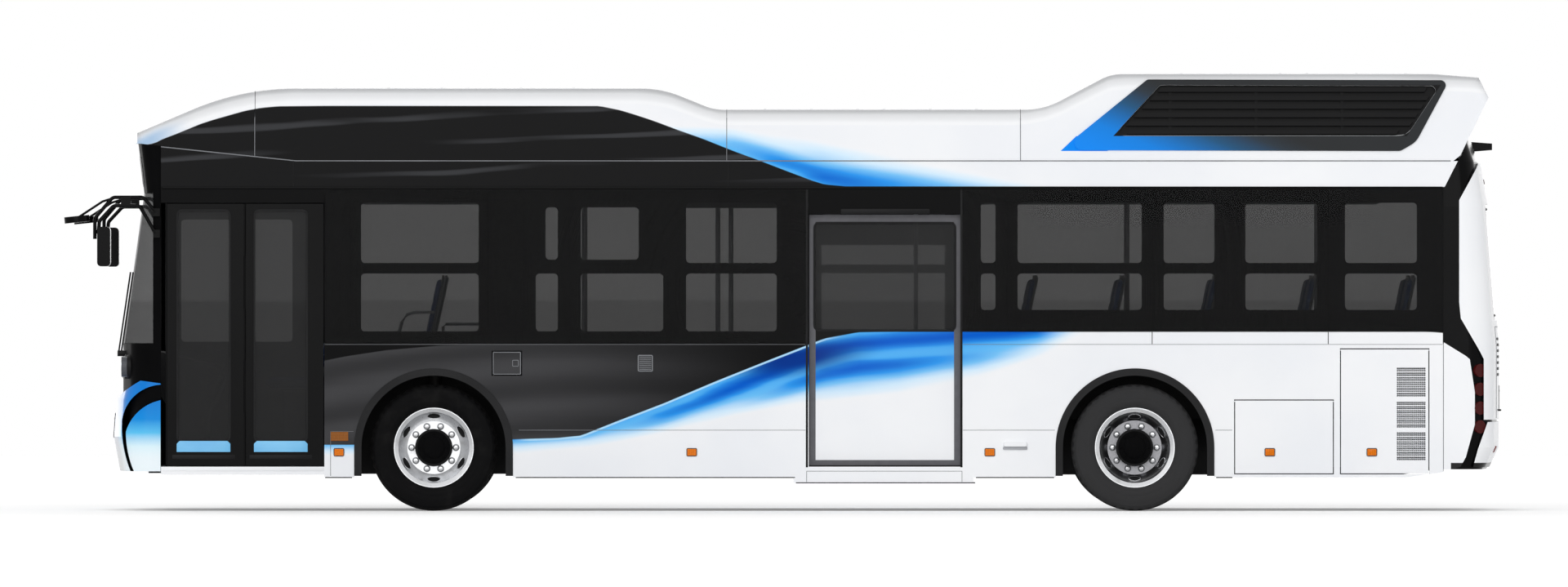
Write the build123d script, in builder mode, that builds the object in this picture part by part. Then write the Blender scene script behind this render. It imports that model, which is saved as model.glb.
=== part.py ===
from build123d import *
import math
import os

os.makedirs("parts", exist_ok=True)

# City bus. Millimetres, +Z up, road at z = 0, front towards -X, kerb (door) side towards -Y.
# Stations are distances behind the front bumper face.

LENGTH = 10525.0
WIDTH = 2490.0
MIRROR_REACH = 345.0
MID_STATION = (LENGTH - MIRROR_REACH) / 2
FRONT_AXLE = 2445.0
REAR_AXLE = FRONT_AXLE + 5300.0
TRIM_PROUD = 5.0
SKIN_Y = WIDTH / 2 - TRIM_PROUD
BASE_Y = SKIN_Y - 15.0
WALL = 50.0
INNER_Y = SKIN_Y - WALL
GLASS = 10.0
BODY_START = 385.0
BODY_END = 10075.0

# Levels
Z_SKIRT = 255.0
Z_SILL = 215.0
Z_WAIST = 1260.0
Z_REAR_WAIST = 1355.0
FLOOR_TOP = 335.0
FLOOR_THICK = 60.0
PLATFORM_TOP = 755.0
PLATFORM_START = 6480.0
CEILING = 2605.0
ROOF_THICK = 40.0
Z_ROOF = CEILING + ROOF_THICK
Z_EAVES = Z_ROOF - 215.0
Z_TIP = Z_ROOF + 140.0

# Wheels and axles
TYRE_R = 478.5
TYRE_W = 275.0
RIM_SEAT = 285.0
RIM_FLANGE = 303.0
RIM_HALF = 105.0
FRONT_WHEEL_Y = 1032.0
REAR_WHEEL_Y = 1066.0
TWIN_PITCH = 312.0
KINGPIN_Y = 880.0
SPINDLE_R = 40.0
RUN_CLEAR = 0.4
FIT = 0.3
ARCH_R = 600.0
ARCH_TRIM = 55.0
HOUSING_HALF = 625.0
HOUSING_TOP = 1052.0
HOUSING_WALL = 14.0
FRONT_HOUSING_Y = 470.0
REAR_HOUSING_Y = 565.0

# Front door, bi-fold
DOOR_START = 425.0
DOOR_END = 1612.0
DOOR_BOTTOM = 345.0
DOOR_TOP = Z_EAVES - 108.0
LEAF = 34.0
LEAF_GAP = 8.0
LEAF_Y = SKIN_Y - 10.0
DOOR_PIN_Y = LEAF_Y + 2.0
DOOR_SOCKET_R = 4.4

# Centre door, sliding
SLIDE_START = 5280.0
SLIDE_END = 6430.0
SLIDE_BOTTOM = 345.0
SLIDE_TOP = Z_EAVES - 190.0
SLIDE_OUT_Y = INNER_Y - 8.0
SLIDE_THICK = 35.0

# Side lids: start station, end station, bottom, top
BATTERY_HATCH = (8502.0, 9240.0, 285.0, 835.0)
VENT_HATCH = (9302.0, 9962.0, 285.0, 1222.0)
FILLER_LID = (2892.0, 3106.0, 1030.0, 1204.0)
LID_GAP = 8.0
LID_PIN_R = 4.0
LID_INSET = 6.0

# Window levels: low and high edge of the transom bar, then the bottoms and tops of the panes
TRANSOM_LOW = Z_WAIST + 0.457 * (Z_EAVES - Z_WAIST)
TRANSOM_HIGH = TRANSOM_LOW + 80.0
PANE_LOW = Z_WAIST + 98.0
PANE_REAR_LOW = Z_REAR_WAIST + 165.0
PANE_TOP = Z_EAVES - 100.0
SLIDER_LOW = TRANSOM_HIGH + 25.0
SLIDER_TOP = Z_EAVES - 135.0

# Side windows on the kerb side. Lower panes: start station, end station, bottom
LEFT_LOW_PANES = [
    (1897.0, 2786.0, PANE_LOW), (3217.0, 3384.0, PANE_LOW), (3557.0, 4180.0, PANE_LOW), (4353.0, 5038.0, PANE_LOW),
    (6580.0, 6691.0, PANE_REAR_LOW), (6858.0, 7796.0, PANE_REAR_LOW), (7962.0, 8345.0, PANE_REAR_LOW),
    (8579.0, 9122.0, PANE_REAR_LOW), (9332.0, 9875.0, PANE_REAR_LOW),
]
# Upper panes: start station, end station, bottom, top
LEFT_HIGH_PANES = [
    (1897.0, 2786.0, TRANSOM_HIGH, PANE_TOP), (3291.0, 3384.0, SLIDER_LOW, SLIDER_TOP),
    (3557.0, 3995.0, SLIDER_LOW, SLIDER_TOP), (4353.0, 5038.0, TRANSOM_HIGH, PANE_TOP),
    (6580.0, 6691.0, TRANSOM_HIGH, PANE_TOP), (6858.0, 7796.0, TRANSOM_HIGH, PANE_TOP),
    (7962.0, 8345.0, TRANSOM_HIGH, PANE_TOP), (8579.0, 9122.0, TRANSOM_HIGH, PANE_TOP),
    (9332.0, 9875.0, TRANSOM_HIGH, PANE_TOP),
]
LEFT_WINDOWS = [(start, end, bottom, TRANSOM_LOW) for start, end, bottom in LEFT_LOW_PANES] + LEFT_HIGH_PANES
# Right side windows: start station, end station, bottom, top
DRIVER_WINDOW = (478.0, 1330.0, Z_WAIST + 15.0, Z_EAVES - 220.0)
RIGHT_WINDOWS = [DRIVER_WINDOW] + [(start, end, bottom, Z_EAVES - 75.0) for start, end, bottom in (
    (1790.0, 2870.0, PANE_LOW - 18), (3150.0, 4230.0, PANE_LOW - 18), (4290.0, 5125.0, PANE_LOW - 18),
    (5340.0, 6390.0, PANE_LOW - 18), (6510.0, 6745.0, PANE_REAR_LOW - 25), (6805.0, 7860.0, PANE_REAR_LOW - 25),
    (7920.0, 8425.0, PANE_REAR_LOW - 25), (8515.0, 9175.0, PANE_REAR_LOW - 25), (9275.0, 9965.0, PANE_REAR_LOW - 25))]
WINDOW_CORNER = 30.0

# Outer glass panels: start station, end station, bottom
LEFT_PANES = [
    (1623.0, 1813.0, Z_WAIST), (1819.0, 2853.0, Z_WAIST), (2859.0, 3122.0, Z_WAIST),
    (3128.0, 3467.0, Z_WAIST), (3473.0, 5132.0, Z_WAIST), (5138.0, 5277.0, Z_WAIST),
    (6433.0, 6777.0, Z_REAR_WAIST), (6783.0, 7872.0, Z_REAR_WAIST),
    (7878.0, 9202.0, Z_REAR_WAIST), (9208.0, 10072.0, Z_REAR_WAIST),
]
RIGHT_PANES = [
    (388.0, 1437.0, Z_WAIST), (1443.0, 2997.0, Z_WAIST), (3003.0, 4257.0, Z_WAIST),
    (4263.0, 5232.0, Z_WAIST), (5238.0, 6447.0, Z_WAIST), (6453.0, 6777.0, Z_REAR_WAIST),
    (6783.0, 7887.0, Z_REAR_WAIST), (7893.0, 9222.0, Z_REAR_WAIST), (9228.0, 10072.0, Z_REAR_WAIST),
]

# Roof fairing
FAIRING_Y = 1222.0
FAIRING_LEAN = 74.0 / 660.0
FAIRING_WALL = 35.0
FAIRING_ROUND = 60.0
ROOF_FRONT = Z_ROOF + 550.0
ROOF_MID = Z_ROOF + 390.0
ROOF_REAR = Z_ROOF + 660.0
CAP_END = 1095.0
FAIRING_FRONT_END = 4660.0
FAIRING_MID_END = 6880.0
SEAM = 4.0


def at(station):
    return station - MID_STATION


def export(name, part):
    part.label = name
    export_step(part, f"parts/{name}.step")


def left_plane(y_abs):
    return Plane.XZ.offset(y_abs)


def right_plane(y_abs):
    return Plane.XZ.offset(-y_abs)


def arch_outline(radius, bottom):
    # One arch over each axle, straight below the wheel centre.
    for axle in (FRONT_AXLE, REAR_AXLE):
        with Locations((at(axle), TYRE_R)):
            Circle(radius)
        with Locations((at(axle), (TYRE_R + bottom) / 2)):
            Rectangle(2 * radius, TYRE_R - bottom)


def box_outline(rows, grow, corner):
    # Rectangles in the side view from (start, end, bottom, top) rows.
    for start, end, bottom, top in rows:
        with Locations((at((start + end) / 2), (bottom + top) / 2)):
            if corner > 0:
                RectangleRounded(end - start + 2 * grow, top - bottom + 2 * grow, corner)
            else:
                Rectangle(end - start + 2 * grow, top - bottom + 2 * grow)


def nose_plan(front, reach, sag, half, back):
    # Plan outline of the nose: a wide arc, two corner arcs, straight sides and a flat back.
    q = sag / reach
    depth = (half - reach) * (1 + q) / (1 - q)
    tip = at(front)
    side = tip + sag + depth
    sine = 2 * q / (1 + q * q)
    r = (half - reach) / (1 - sine)
    turn = (math.asin(sine) + math.pi / 2) / 2
    mid_x = side - r * math.cos(turn)
    mid_y = half - r + r * math.sin(turn)
    ThreePointArc((tip + sag, -reach), (tip, 0), (tip + sag, reach))
    ThreePointArc((tip + sag, reach), (mid_x, mid_y), (side, half))
    Polyline((side, half), (at(back), half), (at(back), -half), (side, -half))
    ThreePointArc((side, -half), (mid_x, -mid_y), (tip + sag, -reach))


def tail_plan(rear, reach, sag, half, front):
    # Plan outline of the tail, the nose's shape turned round.
    q = sag / reach
    depth = (half - reach) * (1 + q) / (1 - q)
    tip = at(rear)
    side = tip - sag - depth
    sine = 2 * q / (1 + q * q)
    r = (half - reach) / (1 - sine)
    turn = (math.asin(sine) + math.pi / 2) / 2
    mid_x = side + r * math.cos(turn)
    mid_y = half - r + r * math.sin(turn)
    ThreePointArc((tip - sag, -reach), (tip, 0), (tip - sag, reach))
    ThreePointArc((tip - sag, reach), (mid_x, mid_y), (side, half))
    Polyline((side, half), (at(front), half), (at(front), -half), (side, -half))
    ThreePointArc((side, -half), (mid_x, -mid_y), (tip - sag, -reach))


# Side skirts
LEFT_SKIRT_OUTLINE = [
    (1620, Z_SKIRT), (5165, Z_SKIRT), (5165, Z_SILL), (6525, Z_SILL), (6525, Z_SKIRT), (9800, Z_SKIRT),
    (BODY_END, 295), (BODY_END, Z_WAIST), (SLIDE_END, Z_WAIST), (SLIDE_END, FLOOR_TOP),
    (SLIDE_START, FLOOR_TOP), (SLIDE_START, Z_WAIST), (1620, Z_WAIST), (1620, FLOOR_TOP), (BODY_START, FLOOR_TOP),
    (BODY_START, 275), (1620, 275),
]
RIGHT_SKIRT_OUTLINE = [
    (BODY_START, 275), (1620, 275), (1620, Z_SKIRT), (9800, Z_SKIRT), (BODY_END, 295),
    (BODY_END, Z_WAIST), (BODY_START, Z_WAIST),
]

with BuildPart() as left_skirt:
    with BuildSketch(left_plane(INNER_Y)):
        with BuildLine():
            Polyline(*[(at(s), z) for s, z in LEFT_SKIRT_OUTLINE], close=True)
        make_face()
        with BuildSketch(mode=Mode.SUBTRACT):
            arch_outline(ARCH_R, 0)
        with BuildSketch(mode=Mode.SUBTRACT):
            box_outline([BATTERY_HATCH, VENT_HATCH, FILLER_LID], LID_GAP, 0)
    extrude(amount=WALL)
    for start, end, bottom, top in (BATTERY_HATCH, VENT_HATCH):
        pin_origin = (at(start) - 22, -(SKIN_Y - LID_INSET), top - LID_INSET)
        with BuildSketch(Plane(origin=pin_origin, x_dir=(0, 1, 0), z_dir=(1, 0, 0))):
            Circle(LID_PIN_R + RUN_CLEAR)
        extrude(amount=end - start + 44, mode=Mode.SUBTRACT)
    with Locations((at(DOOR_START), -DOOR_PIN_Y, FLOOR_TOP)):
        Cylinder(DOOR_SOCKET_R, 50, mode=Mode.SUBTRACT)
    filler_origin = (at(FILLER_LID[0]) + LID_INSET, -(SKIN_Y - LID_INSET), FILLER_LID[2] - 22)
    with BuildSketch(Plane(origin=filler_origin, x_dir=(1, 0, 0), z_dir=(0, 0, 1))):
        Circle(LID_PIN_R + RUN_CLEAR)
    extrude(amount=FILLER_LID[3] - FILLER_LID[2] + 44, mode=Mode.SUBTRACT)
export("left_skirt", left_skirt.part)

with BuildPart() as right_skirt:
    with BuildSketch(right_plane(SKIN_Y)):
        with BuildLine():
            Polyline(*[(at(s), z) for s, z in RIGHT_SKIRT_OUTLINE], close=True)
        make_face()
        with BuildSketch(mode=Mode.SUBTRACT):
            arch_outline(ARCH_R, 0)
    extrude(amount=WALL)
export("right_skirt", right_skirt.part)

with BuildPart() as arch_trims:
    for plane in (left_plane(INNER_Y + 5), right_plane(SKIN_Y + TRIM_PROUD)):
        with BuildSketch(plane):
            arch_outline(ARCH_R - FIT, 265)
            with BuildSketch(mode=Mode.SUBTRACT):
                arch_outline(ARCH_R - ARCH_TRIM, 0)
                box_outline([(0, LENGTH, -200, 265)], 0, 0)
        extrude(amount=WALL)
export("arch_trims", arch_trims.part)

# Side lids: a plate with its hinge edge rounded about the pins
for lid_name, (start, end, bottom, top) in (("battery_hatch", BATTERY_HATCH), ("vent_hatch", VENT_HATCH)):
    with BuildPart() as lid:
        with BuildSketch(left_plane(INNER_Y)):
            box_outline([(start, end, bottom, top)], 0, 0)
        extrude(amount=WALL)
        fillet(lid.edges().filter_by(Axis.X).sort_by(Axis.Z)[-2:].sort_by(Axis.Y)[0], LID_INSET)
        pin_origin = (at(start) - 15, -(SKIN_Y - LID_INSET), top - LID_INSET)
        with BuildSketch(Plane(origin=pin_origin, x_dir=(0, 1, 0), z_dir=(1, 0, 0))):
            Circle(LID_PIN_R)
        extrude(amount=end - start + 30)
        if lid_name == "vent_hatch":
            for vent_bottom, vent_top in ((380, 598), (627, 830), (862, 1090)):
                slot_pitch = (vent_top - vent_bottom) / 6
                for row in range(6):
                    slot_z = vent_bottom + slot_pitch * (row + 0.5)
                    with BuildSketch(left_plane(SKIN_Y - 18)):
                        with Locations((at(9832), slot_z)):
                            Rectangle(216, slot_pitch - 12)
                    extrude(amount=18, mode=Mode.SUBTRACT)
    export(lid_name, lid.part)

with BuildPart() as filler_lid:
    with BuildSketch(left_plane(INNER_Y)):
        box_outline([FILLER_LID], 0, 0)
    extrude(amount=WALL)
    fillet(filler_lid.edges().filter_by(Axis.Z).sort_by(Axis.X)[:2].sort_by(Axis.Y)[0], LID_INSET)
    filler_origin = (at(FILLER_LID[0]) + LID_INSET, -(SKIN_Y - LID_INSET), FILLER_LID[2] - 15)
    with BuildSketch(Plane(origin=filler_origin, x_dir=(1, 0, 0), z_dir=(0, 0, 1))):
        Circle(LID_PIN_R)
    extrude(amount=FILLER_LID[3] - FILLER_LID[2] + 30)
export("filler_lid", filler_lid.part)

# Window walls, with the outer glass panels over them
with BuildPart() as left_window_wall:
    with BuildSketch(left_plane(INNER_Y)):
        box_outline([(1620, SLIDE_START, Z_WAIST, Z_EAVES), (SLIDE_END, BODY_END, Z_WAIST, Z_EAVES)], 0, 0)
        with BuildSketch(mode=Mode.SUBTRACT):
            box_outline(LEFT_WINDOWS, 0, WINDOW_CORNER)
    extrude(amount=WALL - GLASS)
    with BuildSketch(left_plane(SKIN_Y - GLASS)):
        box_outline([(SLIDE_END, BODY_END, Z_WAIST, Z_REAR_WAIST - 3)], 0, 0)
    extrude(amount=GLASS)
export("left_window_wall", left_window_wall.part)

with BuildPart() as right_window_wall:
    with BuildSketch(right_plane(SKIN_Y - GLASS)):
        box_outline([(BODY_START, BODY_END, Z_WAIST, Z_EAVES)], 0, 0)
        with BuildSketch(mode=Mode.SUBTRACT):
            box_outline(RIGHT_WINDOWS, 0, WINDOW_CORNER)
    extrude(amount=WALL - GLASS)
    with BuildSketch(right_plane(SKIN_Y)):
        box_outline([(6450, BODY_END, Z_WAIST, Z_REAR_WAIST - 3)], 0, 0)
    extrude(amount=GLASS)
export("right_window_wall", right_window_wall.part)

with BuildPart() as side_glass:
    for plane, panes in ((left_plane(SKIN_Y - GLASS), LEFT_PANES), (right_plane(SKIN_Y), RIGHT_PANES)):
        with BuildSketch(plane):
            box_outline([(start, end, bottom, Z_EAVES) for start, end, bottom in panes], 0, 0)
        extrude(amount=GLASS)
export("side_glass", side_glass.part)

# Cantrails above the windows, leaning in a little, with the door headers and the sliding door's rail
CANTRAIL_TOP = [(10185, Z_ROOF), (1405, Z_ROOF), (BODY_START, Z_TIP - 33)]
RAIL_Z = Z_EAVES - 130.0
RAIL_IN_Y = SLIDE_OUT_Y - SLIDE_THICK - 3.0

with BuildPart() as cantrails:
    for side in (-1, 1):
        with BuildSketch(Plane.YZ.offset(at(BODY_START))):
            with BuildLine():
                Polyline((side * 1180, Z_EAVES), (side * SKIN_Y, Z_EAVES), (side * 1216, Z_ROOF + 130),
                         (side * 1180, Z_ROOF + 130), close=True)
            make_face()
        extrude(amount=9900)
    with BuildSketch(left_plane(SKIN_Y)):
        with BuildLine():
            Polyline(*[(at(s), z) for s, z in [(BODY_START, Z_EAVES), (BODY_END, Z_EAVES)] + CANTRAIL_TOP],
                     close=True)
        make_face()
    extrude(amount=-2 * SKIN_Y, mode=Mode.INTERSECT)
    with BuildSketch(left_plane(INNER_Y)):
        box_outline([(BODY_START, 1620, DOOR_TOP + 8, Z_EAVES), (SLIDE_START, SLIDE_END, SLIDE_TOP + 5, Z_EAVES)], 0, 0)
    extrude(amount=WALL)
    with BuildSketch(left_plane(RAIL_IN_Y)):
        box_outline([(4240, SLIDE_END, RAIL_Z - 10, RAIL_Z)], 0, 0)
    extrude(amount=INNER_Y - RAIL_IN_Y)
    with BuildSketch(left_plane(1180)):
        box_outline([(4240, SLIDE_END, RAIL_Z - 10, Z_EAVES + 60)], 0, 0)
    extrude(amount=INNER_Y - 1180)
    with Locations((at(DOOR_START), -DOOR_PIN_Y, DOOR_TOP + 8)):
        Cylinder(DOOR_SOCKET_R, 50, mode=Mode.SUBTRACT)
export("cantrails", cantrails.part)

with BuildPart() as roof_panel:
    with BuildSketch(Plane.XY.offset(CEILING)):
        with Locations((at((BODY_START + 15 + BODY_END) / 2), 0)):
            Rectangle(BODY_END - BODY_START - 15, 2 * 1180)
    extrude(amount=Z_ROOF - CEILING)
export("roof_panel", roof_panel.part)


# Roof fairing: one long hollow cover, parted at its seams
def under_line(station):
    # Level of the fairing's lower edge, rising towards the front tip.
    return max(Z_ROOF, Z_TIP - (station - 157) * (Z_TIP - Z_ROOF) / (1405 - 157))


def fairing_side(inset, drop):
    # Side view: front slope, low middle, high rear and the raked tail edge.
    points = [
        (157 + 2 * inset, Z_TIP + 53 - 0.24 * inset), (995, ROOF_FRONT - inset),
        (4168 - 0.19 * inset, ROOF_FRONT - inset), (4562 - 0.19 * inset, ROOF_MID - inset),
        (7057 + 0.25 * inset, ROOF_MID - inset), (7564 + 0.25 * inset, ROOF_REAR - inset),
        (10000, ROOF_REAR - inset), (10345 - 1.2 * inset, ROOF_REAR - 27 - inset),
        (10420 - 1.2 * inset, ROOF_REAR - 177), (10205 - 1.2 * inset, Z_ROOF + 45),
        (10150 - 1.2 * inset, Z_ROOF - drop), (1405, Z_ROOF - drop),
        (157 + 2 * inset, Z_TIP - drop),
    ]
    radii = [0, 1960, 780 - inset, 400 + inset, 600 + inset, 350 - inset, 0, 0, 0, 0, 0, 0, 0]
    FilletPolyline(*[(at(s), z) for s, z in points], radius=radii, close=True)


def fairing_section(inset):
    base = FAIRING_Y - inset + FAIRING_LEAN * 100
    top = FAIRING_Y - inset - FAIRING_LEAN * 800
    Polyline((-base, Z_ROOF - 100), (base, Z_ROOF - 100), (top, Z_ROOF + 800), (-top, Z_ROOF + 800), close=True)


def is_shoulder(edge):
    # True for the long edges where the fairing's sides meet its top, between the front tip and the tail.
    box = edge.bounding_box()
    long_enough = box.max.X - box.min.X > FAIRING_ROUND
    return long_enough and abs(edge.center().Y) > 1000 and box.min.Z > Z_TIP + 15 and box.min.X > at(230)


with BuildPart() as fairing:
    with BuildSketch(Plane.YZ.offset(at(0))):
        with BuildLine():
            fairing_section(0)
        make_face()
    extrude(amount=10600)
    with BuildSketch(left_plane(1300)):
        with BuildLine():
            fairing_side(0, 0)
        make_face()
    extrude(amount=-2600, mode=Mode.INTERSECT)
    with BuildSketch(Plane.XY.offset(Z_ROOF - 45)):
        with BuildLine():
            nose_plan(157, 1130, 45, FAIRING_Y, 11000)
        make_face()
    extrude(amount=1800, mode=Mode.INTERSECT)
    fillet(fairing.edges().filter_by(is_shoulder), FAIRING_ROUND)

with BuildPart() as fairing_core:
    with BuildSketch(Plane.YZ.offset(at(0))):
        with BuildLine():
            fairing_section(FAIRING_WALL)
        make_face()
    extrude(amount=10600)
    with BuildSketch(left_plane(1300)):
        with BuildLine():
            fairing_side(FAIRING_WALL, 90)
        make_face()
    extrude(amount=-2600, mode=Mode.INTERSECT)
    with BuildSketch(Plane.XY.offset(Z_ROOF - 245)):
        with BuildLine():
            nose_plan(157 + 2 * FAIRING_WALL, 1095, 45, FAIRING_Y - FAIRING_WALL, 11000)
        make_face()
    extrude(amount=1800, mode=Mode.INTERSECT)

# Louvre openings in the rear fairing's sides, and the slats that fill them
LOUVRE_LOW = ROOF_REAR - 471.0
LOUVRE_HIGH = ROOF_REAR - 87.0
LOUVRE = [(7578, LOUVRE_LOW), (7936, LOUVRE_HIGH + 3), (10054, LOUVRE_HIGH - 3), (9800, LOUVRE_LOW)]
LOUVRE_FRAME = [(7180, LOUVRE_LOW - 107), (7840, LOUVRE_HIGH + 44), (10122, LOUVRE_HIGH + 38),
                (9870, LOUVRE_LOW - 44), (9752, LOUVRE_LOW - 113)]
SLATS = 6
LEAN_LENGTH = math.hypot(1, FAIRING_LEAN)


def fairing_wall_plane(side, out):
    # Plane on the leaning side of the fairing, its local axes along X and up the slope.
    normal = (0, side / LEAN_LENGTH, FAIRING_LEAN / LEAN_LENGTH)
    base = Vector(0, side * FAIRING_Y, Z_ROOF) + Vector(*normal) * out
    return Plane(origin=base, x_dir=(-side, 0, 0), z_dir=normal)


def on_slope(side, rows):
    return [(-side * at(s), (z - Z_ROOF) * LEAN_LENGTH) for s, z in rows]


SECTIONS = (("roof_cap", 0, CAP_END), ("fairing_front", CAP_END, FAIRING_FRONT_END),
            ("fairing_mid", FAIRING_FRONT_END, FAIRING_MID_END), ("fairing_rear", FAIRING_MID_END, 10600))
for section_name, start, end in SECTIONS:
    with BuildPart() as section:
        add(fairing.part)
        add(fairing_core.part, mode=Mode.SUBTRACT)
        with BuildSketch(Plane.YZ.offset(at(start + SEAM / 2))):
            with Locations((0, Z_ROOF)):
                Rectangle(2600, 3000)
        extrude(amount=end - start - SEAM, mode=Mode.INTERSECT)
        if section_name == "fairing_rear":
            for side in (-1, 1):
                with BuildSketch(fairing_wall_plane(side, -FAIRING_WALL - 20)):
                    with BuildLine():
                        FilletPolyline(*on_slope(side, LOUVRE), radius=(40, 40, 40, 120), close=True)
                    make_face()
                extrude(amount=FAIRING_WALL + 40, mode=Mode.SUBTRACT)
    export(section_name, section.part)

with BuildPart() as roof_louvres:
    for side in (-1, 1):
        with BuildSketch(fairing_wall_plane(side, 0)):
            with BuildLine():
                FilletPolyline(*on_slope(side, LOUVRE_FRAME), radius=(60, 40, 40, 150, 60), close=True)
            make_face()
            with BuildSketch(mode=Mode.SUBTRACT):
                with BuildLine():
                    FilletPolyline(*on_slope(side, LOUVRE), radius=(40, 40, 40, 120), close=True)
                make_face()
        extrude(amount=8)
        for row in range(SLATS):
            share = (row + 0.5) / SLATS
            level = LOUVRE_LOW + share * (LOUVRE_HIGH - LOUVRE_LOW)
            front_end = 7578 + share * 358 + (90 if row == 0 else 22)
            rear_end = 9800 + share * 254 - (90 if row in (0, SLATS - 1) else 30)
            with BuildSketch(fairing_wall_plane(side, -22)):
                with BuildLine():
                    Polyline(*on_slope(side, [(front_end - 12, level - 17), (front_end + 20, level + 17),
                                              (rear_end + 12, level + 17), (rear_end - 10, level - 17)]),
                             close=True)
                make_face()
            extrude(amount=20)
        with BuildSketch(fairing_wall_plane(side, -FAIRING_WALL / LEAN_LENGTH - 12)):
            with BuildLine():
                Polyline(*on_slope(side, [(7480, LOUVRE_LOW - 34), (7880, LOUVRE_HIGH + 22),
                                          (10100, LOUVRE_HIGH + 22), (9860, LOUVRE_LOW - 34)]), close=True)
            make_face()
        extrude(amount=12)
        for post in (8000, 8650, 9300):
            with BuildSketch(fairing_wall_plane(side, -FAIRING_WALL - 1)):
                with BuildLine():
                    Polyline(*on_slope(side, [(post, LOUVRE_LOW + 6), (post, LOUVRE_HIGH - 8),
                                              (post + 24, LOUVRE_HIGH - 8), (post + 24, LOUVRE_LOW + 6)]), close=True)
                make_face()
            extrude(amount=18)
export("roof_louvres", roof_louvres.part)

# Energy packs on the roof and the drive unit behind the rear axle
with BuildPart() as heavy_units:
    for start, end, half, bottom, top in ((1500, 4150, 950, Z_ROOF, ROOF_FRONT - 145),
                                          (7750, 9700, 900, Z_ROOF, ROOF_REAR - 105),
                                          (8500, 10000, 880, 330, PLATFORM_TOP - FLOOR_THICK)):
        with BuildSketch(Plane.XY.offset(bottom)):
            with Locations((at((start + end) / 2), 0)):
                Rectangle(end - start, 2 * half)
        extrude(amount=top - bottom)
export("heavy_units", heavy_units.part)

# Front: dark mask with screen pillars, screen, header and bumper
MASK_FRONT = 70.0
MASK_TOP = 1265.0
SCREEN_TOP = Z_EAVES - 25.0
SCREEN_TOP_FRONT = 232.0
PILLAR_START = 325.0

# Towing sockets behind round ports in the nose and the tail
TOW_Y = 400.0
TOW_FRONT_Z = 400.0
TOW_REAR_Z = 560.0
TOW_PORT_R = 50.0
TOW_HALF = 60.0
TOW_BORE_R = 25.0

with BuildPart() as front_mask:
    with BuildSketch(Plane.XY.offset(300)):
        with BuildLine():
            nose_plan(MASK_FRONT, 1050, 80, BASE_Y, BODY_START)
        make_face()
    extrude(amount=MASK_TOP - 300)
    with BuildSketch(Plane.XY.offset(MASK_TOP)):
        with BuildLine():
            nose_plan(MASK_FRONT, 1050, 80, BASE_Y, BODY_START)
        make_face()
    with BuildSketch(Plane.XY.offset(SCREEN_TOP)):
        with BuildLine():
            nose_plan(SCREEN_TOP_FRONT, 1140, 45, BASE_Y, BODY_START)
        make_face()
    loft(ruled=True)
    with BuildSketch(Plane.XY.offset(200)):
        with BuildLine():
            nose_plan(MASK_FRONT + 50, 1010, 80, BASE_Y - 50, BODY_START + 50)
        make_face()
    extrude(amount=SCREEN_TOP, mode=Mode.SUBTRACT)
    with BuildSketch(Plane.XY.offset(MASK_TOP)):
        with Locations((at(PILLAR_START) - 500, 0)):
            Rectangle(1000, 3000)
    extrude(amount=SCREEN_TOP, mode=Mode.SUBTRACT)
    with BuildSketch(Plane.YZ.offset(at(-50))):
        with Locations((TOW_Y, TOW_FRONT_Z)):
            Circle(TOW_PORT_R)
    extrude(amount=250, mode=Mode.SUBTRACT)
export("front_mask", front_mask.part)

with BuildPart() as windscreen:
    for inset, mode in ((0, Mode.ADD), (GLASS, Mode.SUBTRACT)):
        with BuildSketch(Plane.XY.offset(MASK_TOP)) as screen_low:
            with BuildLine():
                nose_plan(MASK_FRONT + inset, 1050 - inset, 80, BASE_Y - inset, BODY_START + inset)
            make_face()
        with BuildSketch(Plane.XY.offset(SCREEN_TOP)) as screen_high:
            with BuildLine():
                nose_plan(SCREEN_TOP_FRONT + inset, 1140 - inset, 45, BASE_Y - inset, BODY_START + inset)
            make_face()
        loft(ruled=True, mode=mode)
    with BuildSketch(Plane.XY.offset(MASK_TOP)):
        with Locations((at(PILLAR_START) + 500, 0)):
            Rectangle(1000, 3000)
    extrude(amount=SCREEN_TOP, mode=Mode.SUBTRACT)
export("windscreen", windscreen.part)

HEADER_WALL = 40.0
with BuildPart() as front_header:
    for inset, mode in ((0, Mode.ADD), (HEADER_WALL, Mode.SUBTRACT)):
        with BuildSketch(Plane.XY.offset(SCREEN_TOP)):
            with BuildLine():
                nose_plan(SCREEN_TOP_FRONT + inset, 1140 - inset, 45, BASE_Y - inset, BODY_START + inset)
            make_face()
        with BuildSketch(Plane.XY.offset(Z_TIP + 15)):
            with BuildLine():
                nose_plan(185 + inset, 1120 - inset, 45, BASE_Y - 15 - inset, BODY_START + inset)
            make_face()
        loft(ruled=True, mode=mode)
    with BuildSketch(left_plane(1300)):
        with BuildLine():
            Polyline((at(100), under_line(100)), (at(500), under_line(500)), (at(500), Z_TIP + 115), (at(100), Z_TIP + 115),
                     close=True)
        make_face()
    extrude(amount=-2600, mode=Mode.SUBTRACT)
    with BuildSketch(Plane.XY.offset(SCREEN_TOP)):
        with BuildLine():
            nose_plan(SCREEN_TOP_FRONT + 10, 1130, 45, BASE_Y - 10, BODY_START)
        make_face()
    extrude(amount=30)
export("front_header", front_header.part)

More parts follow.
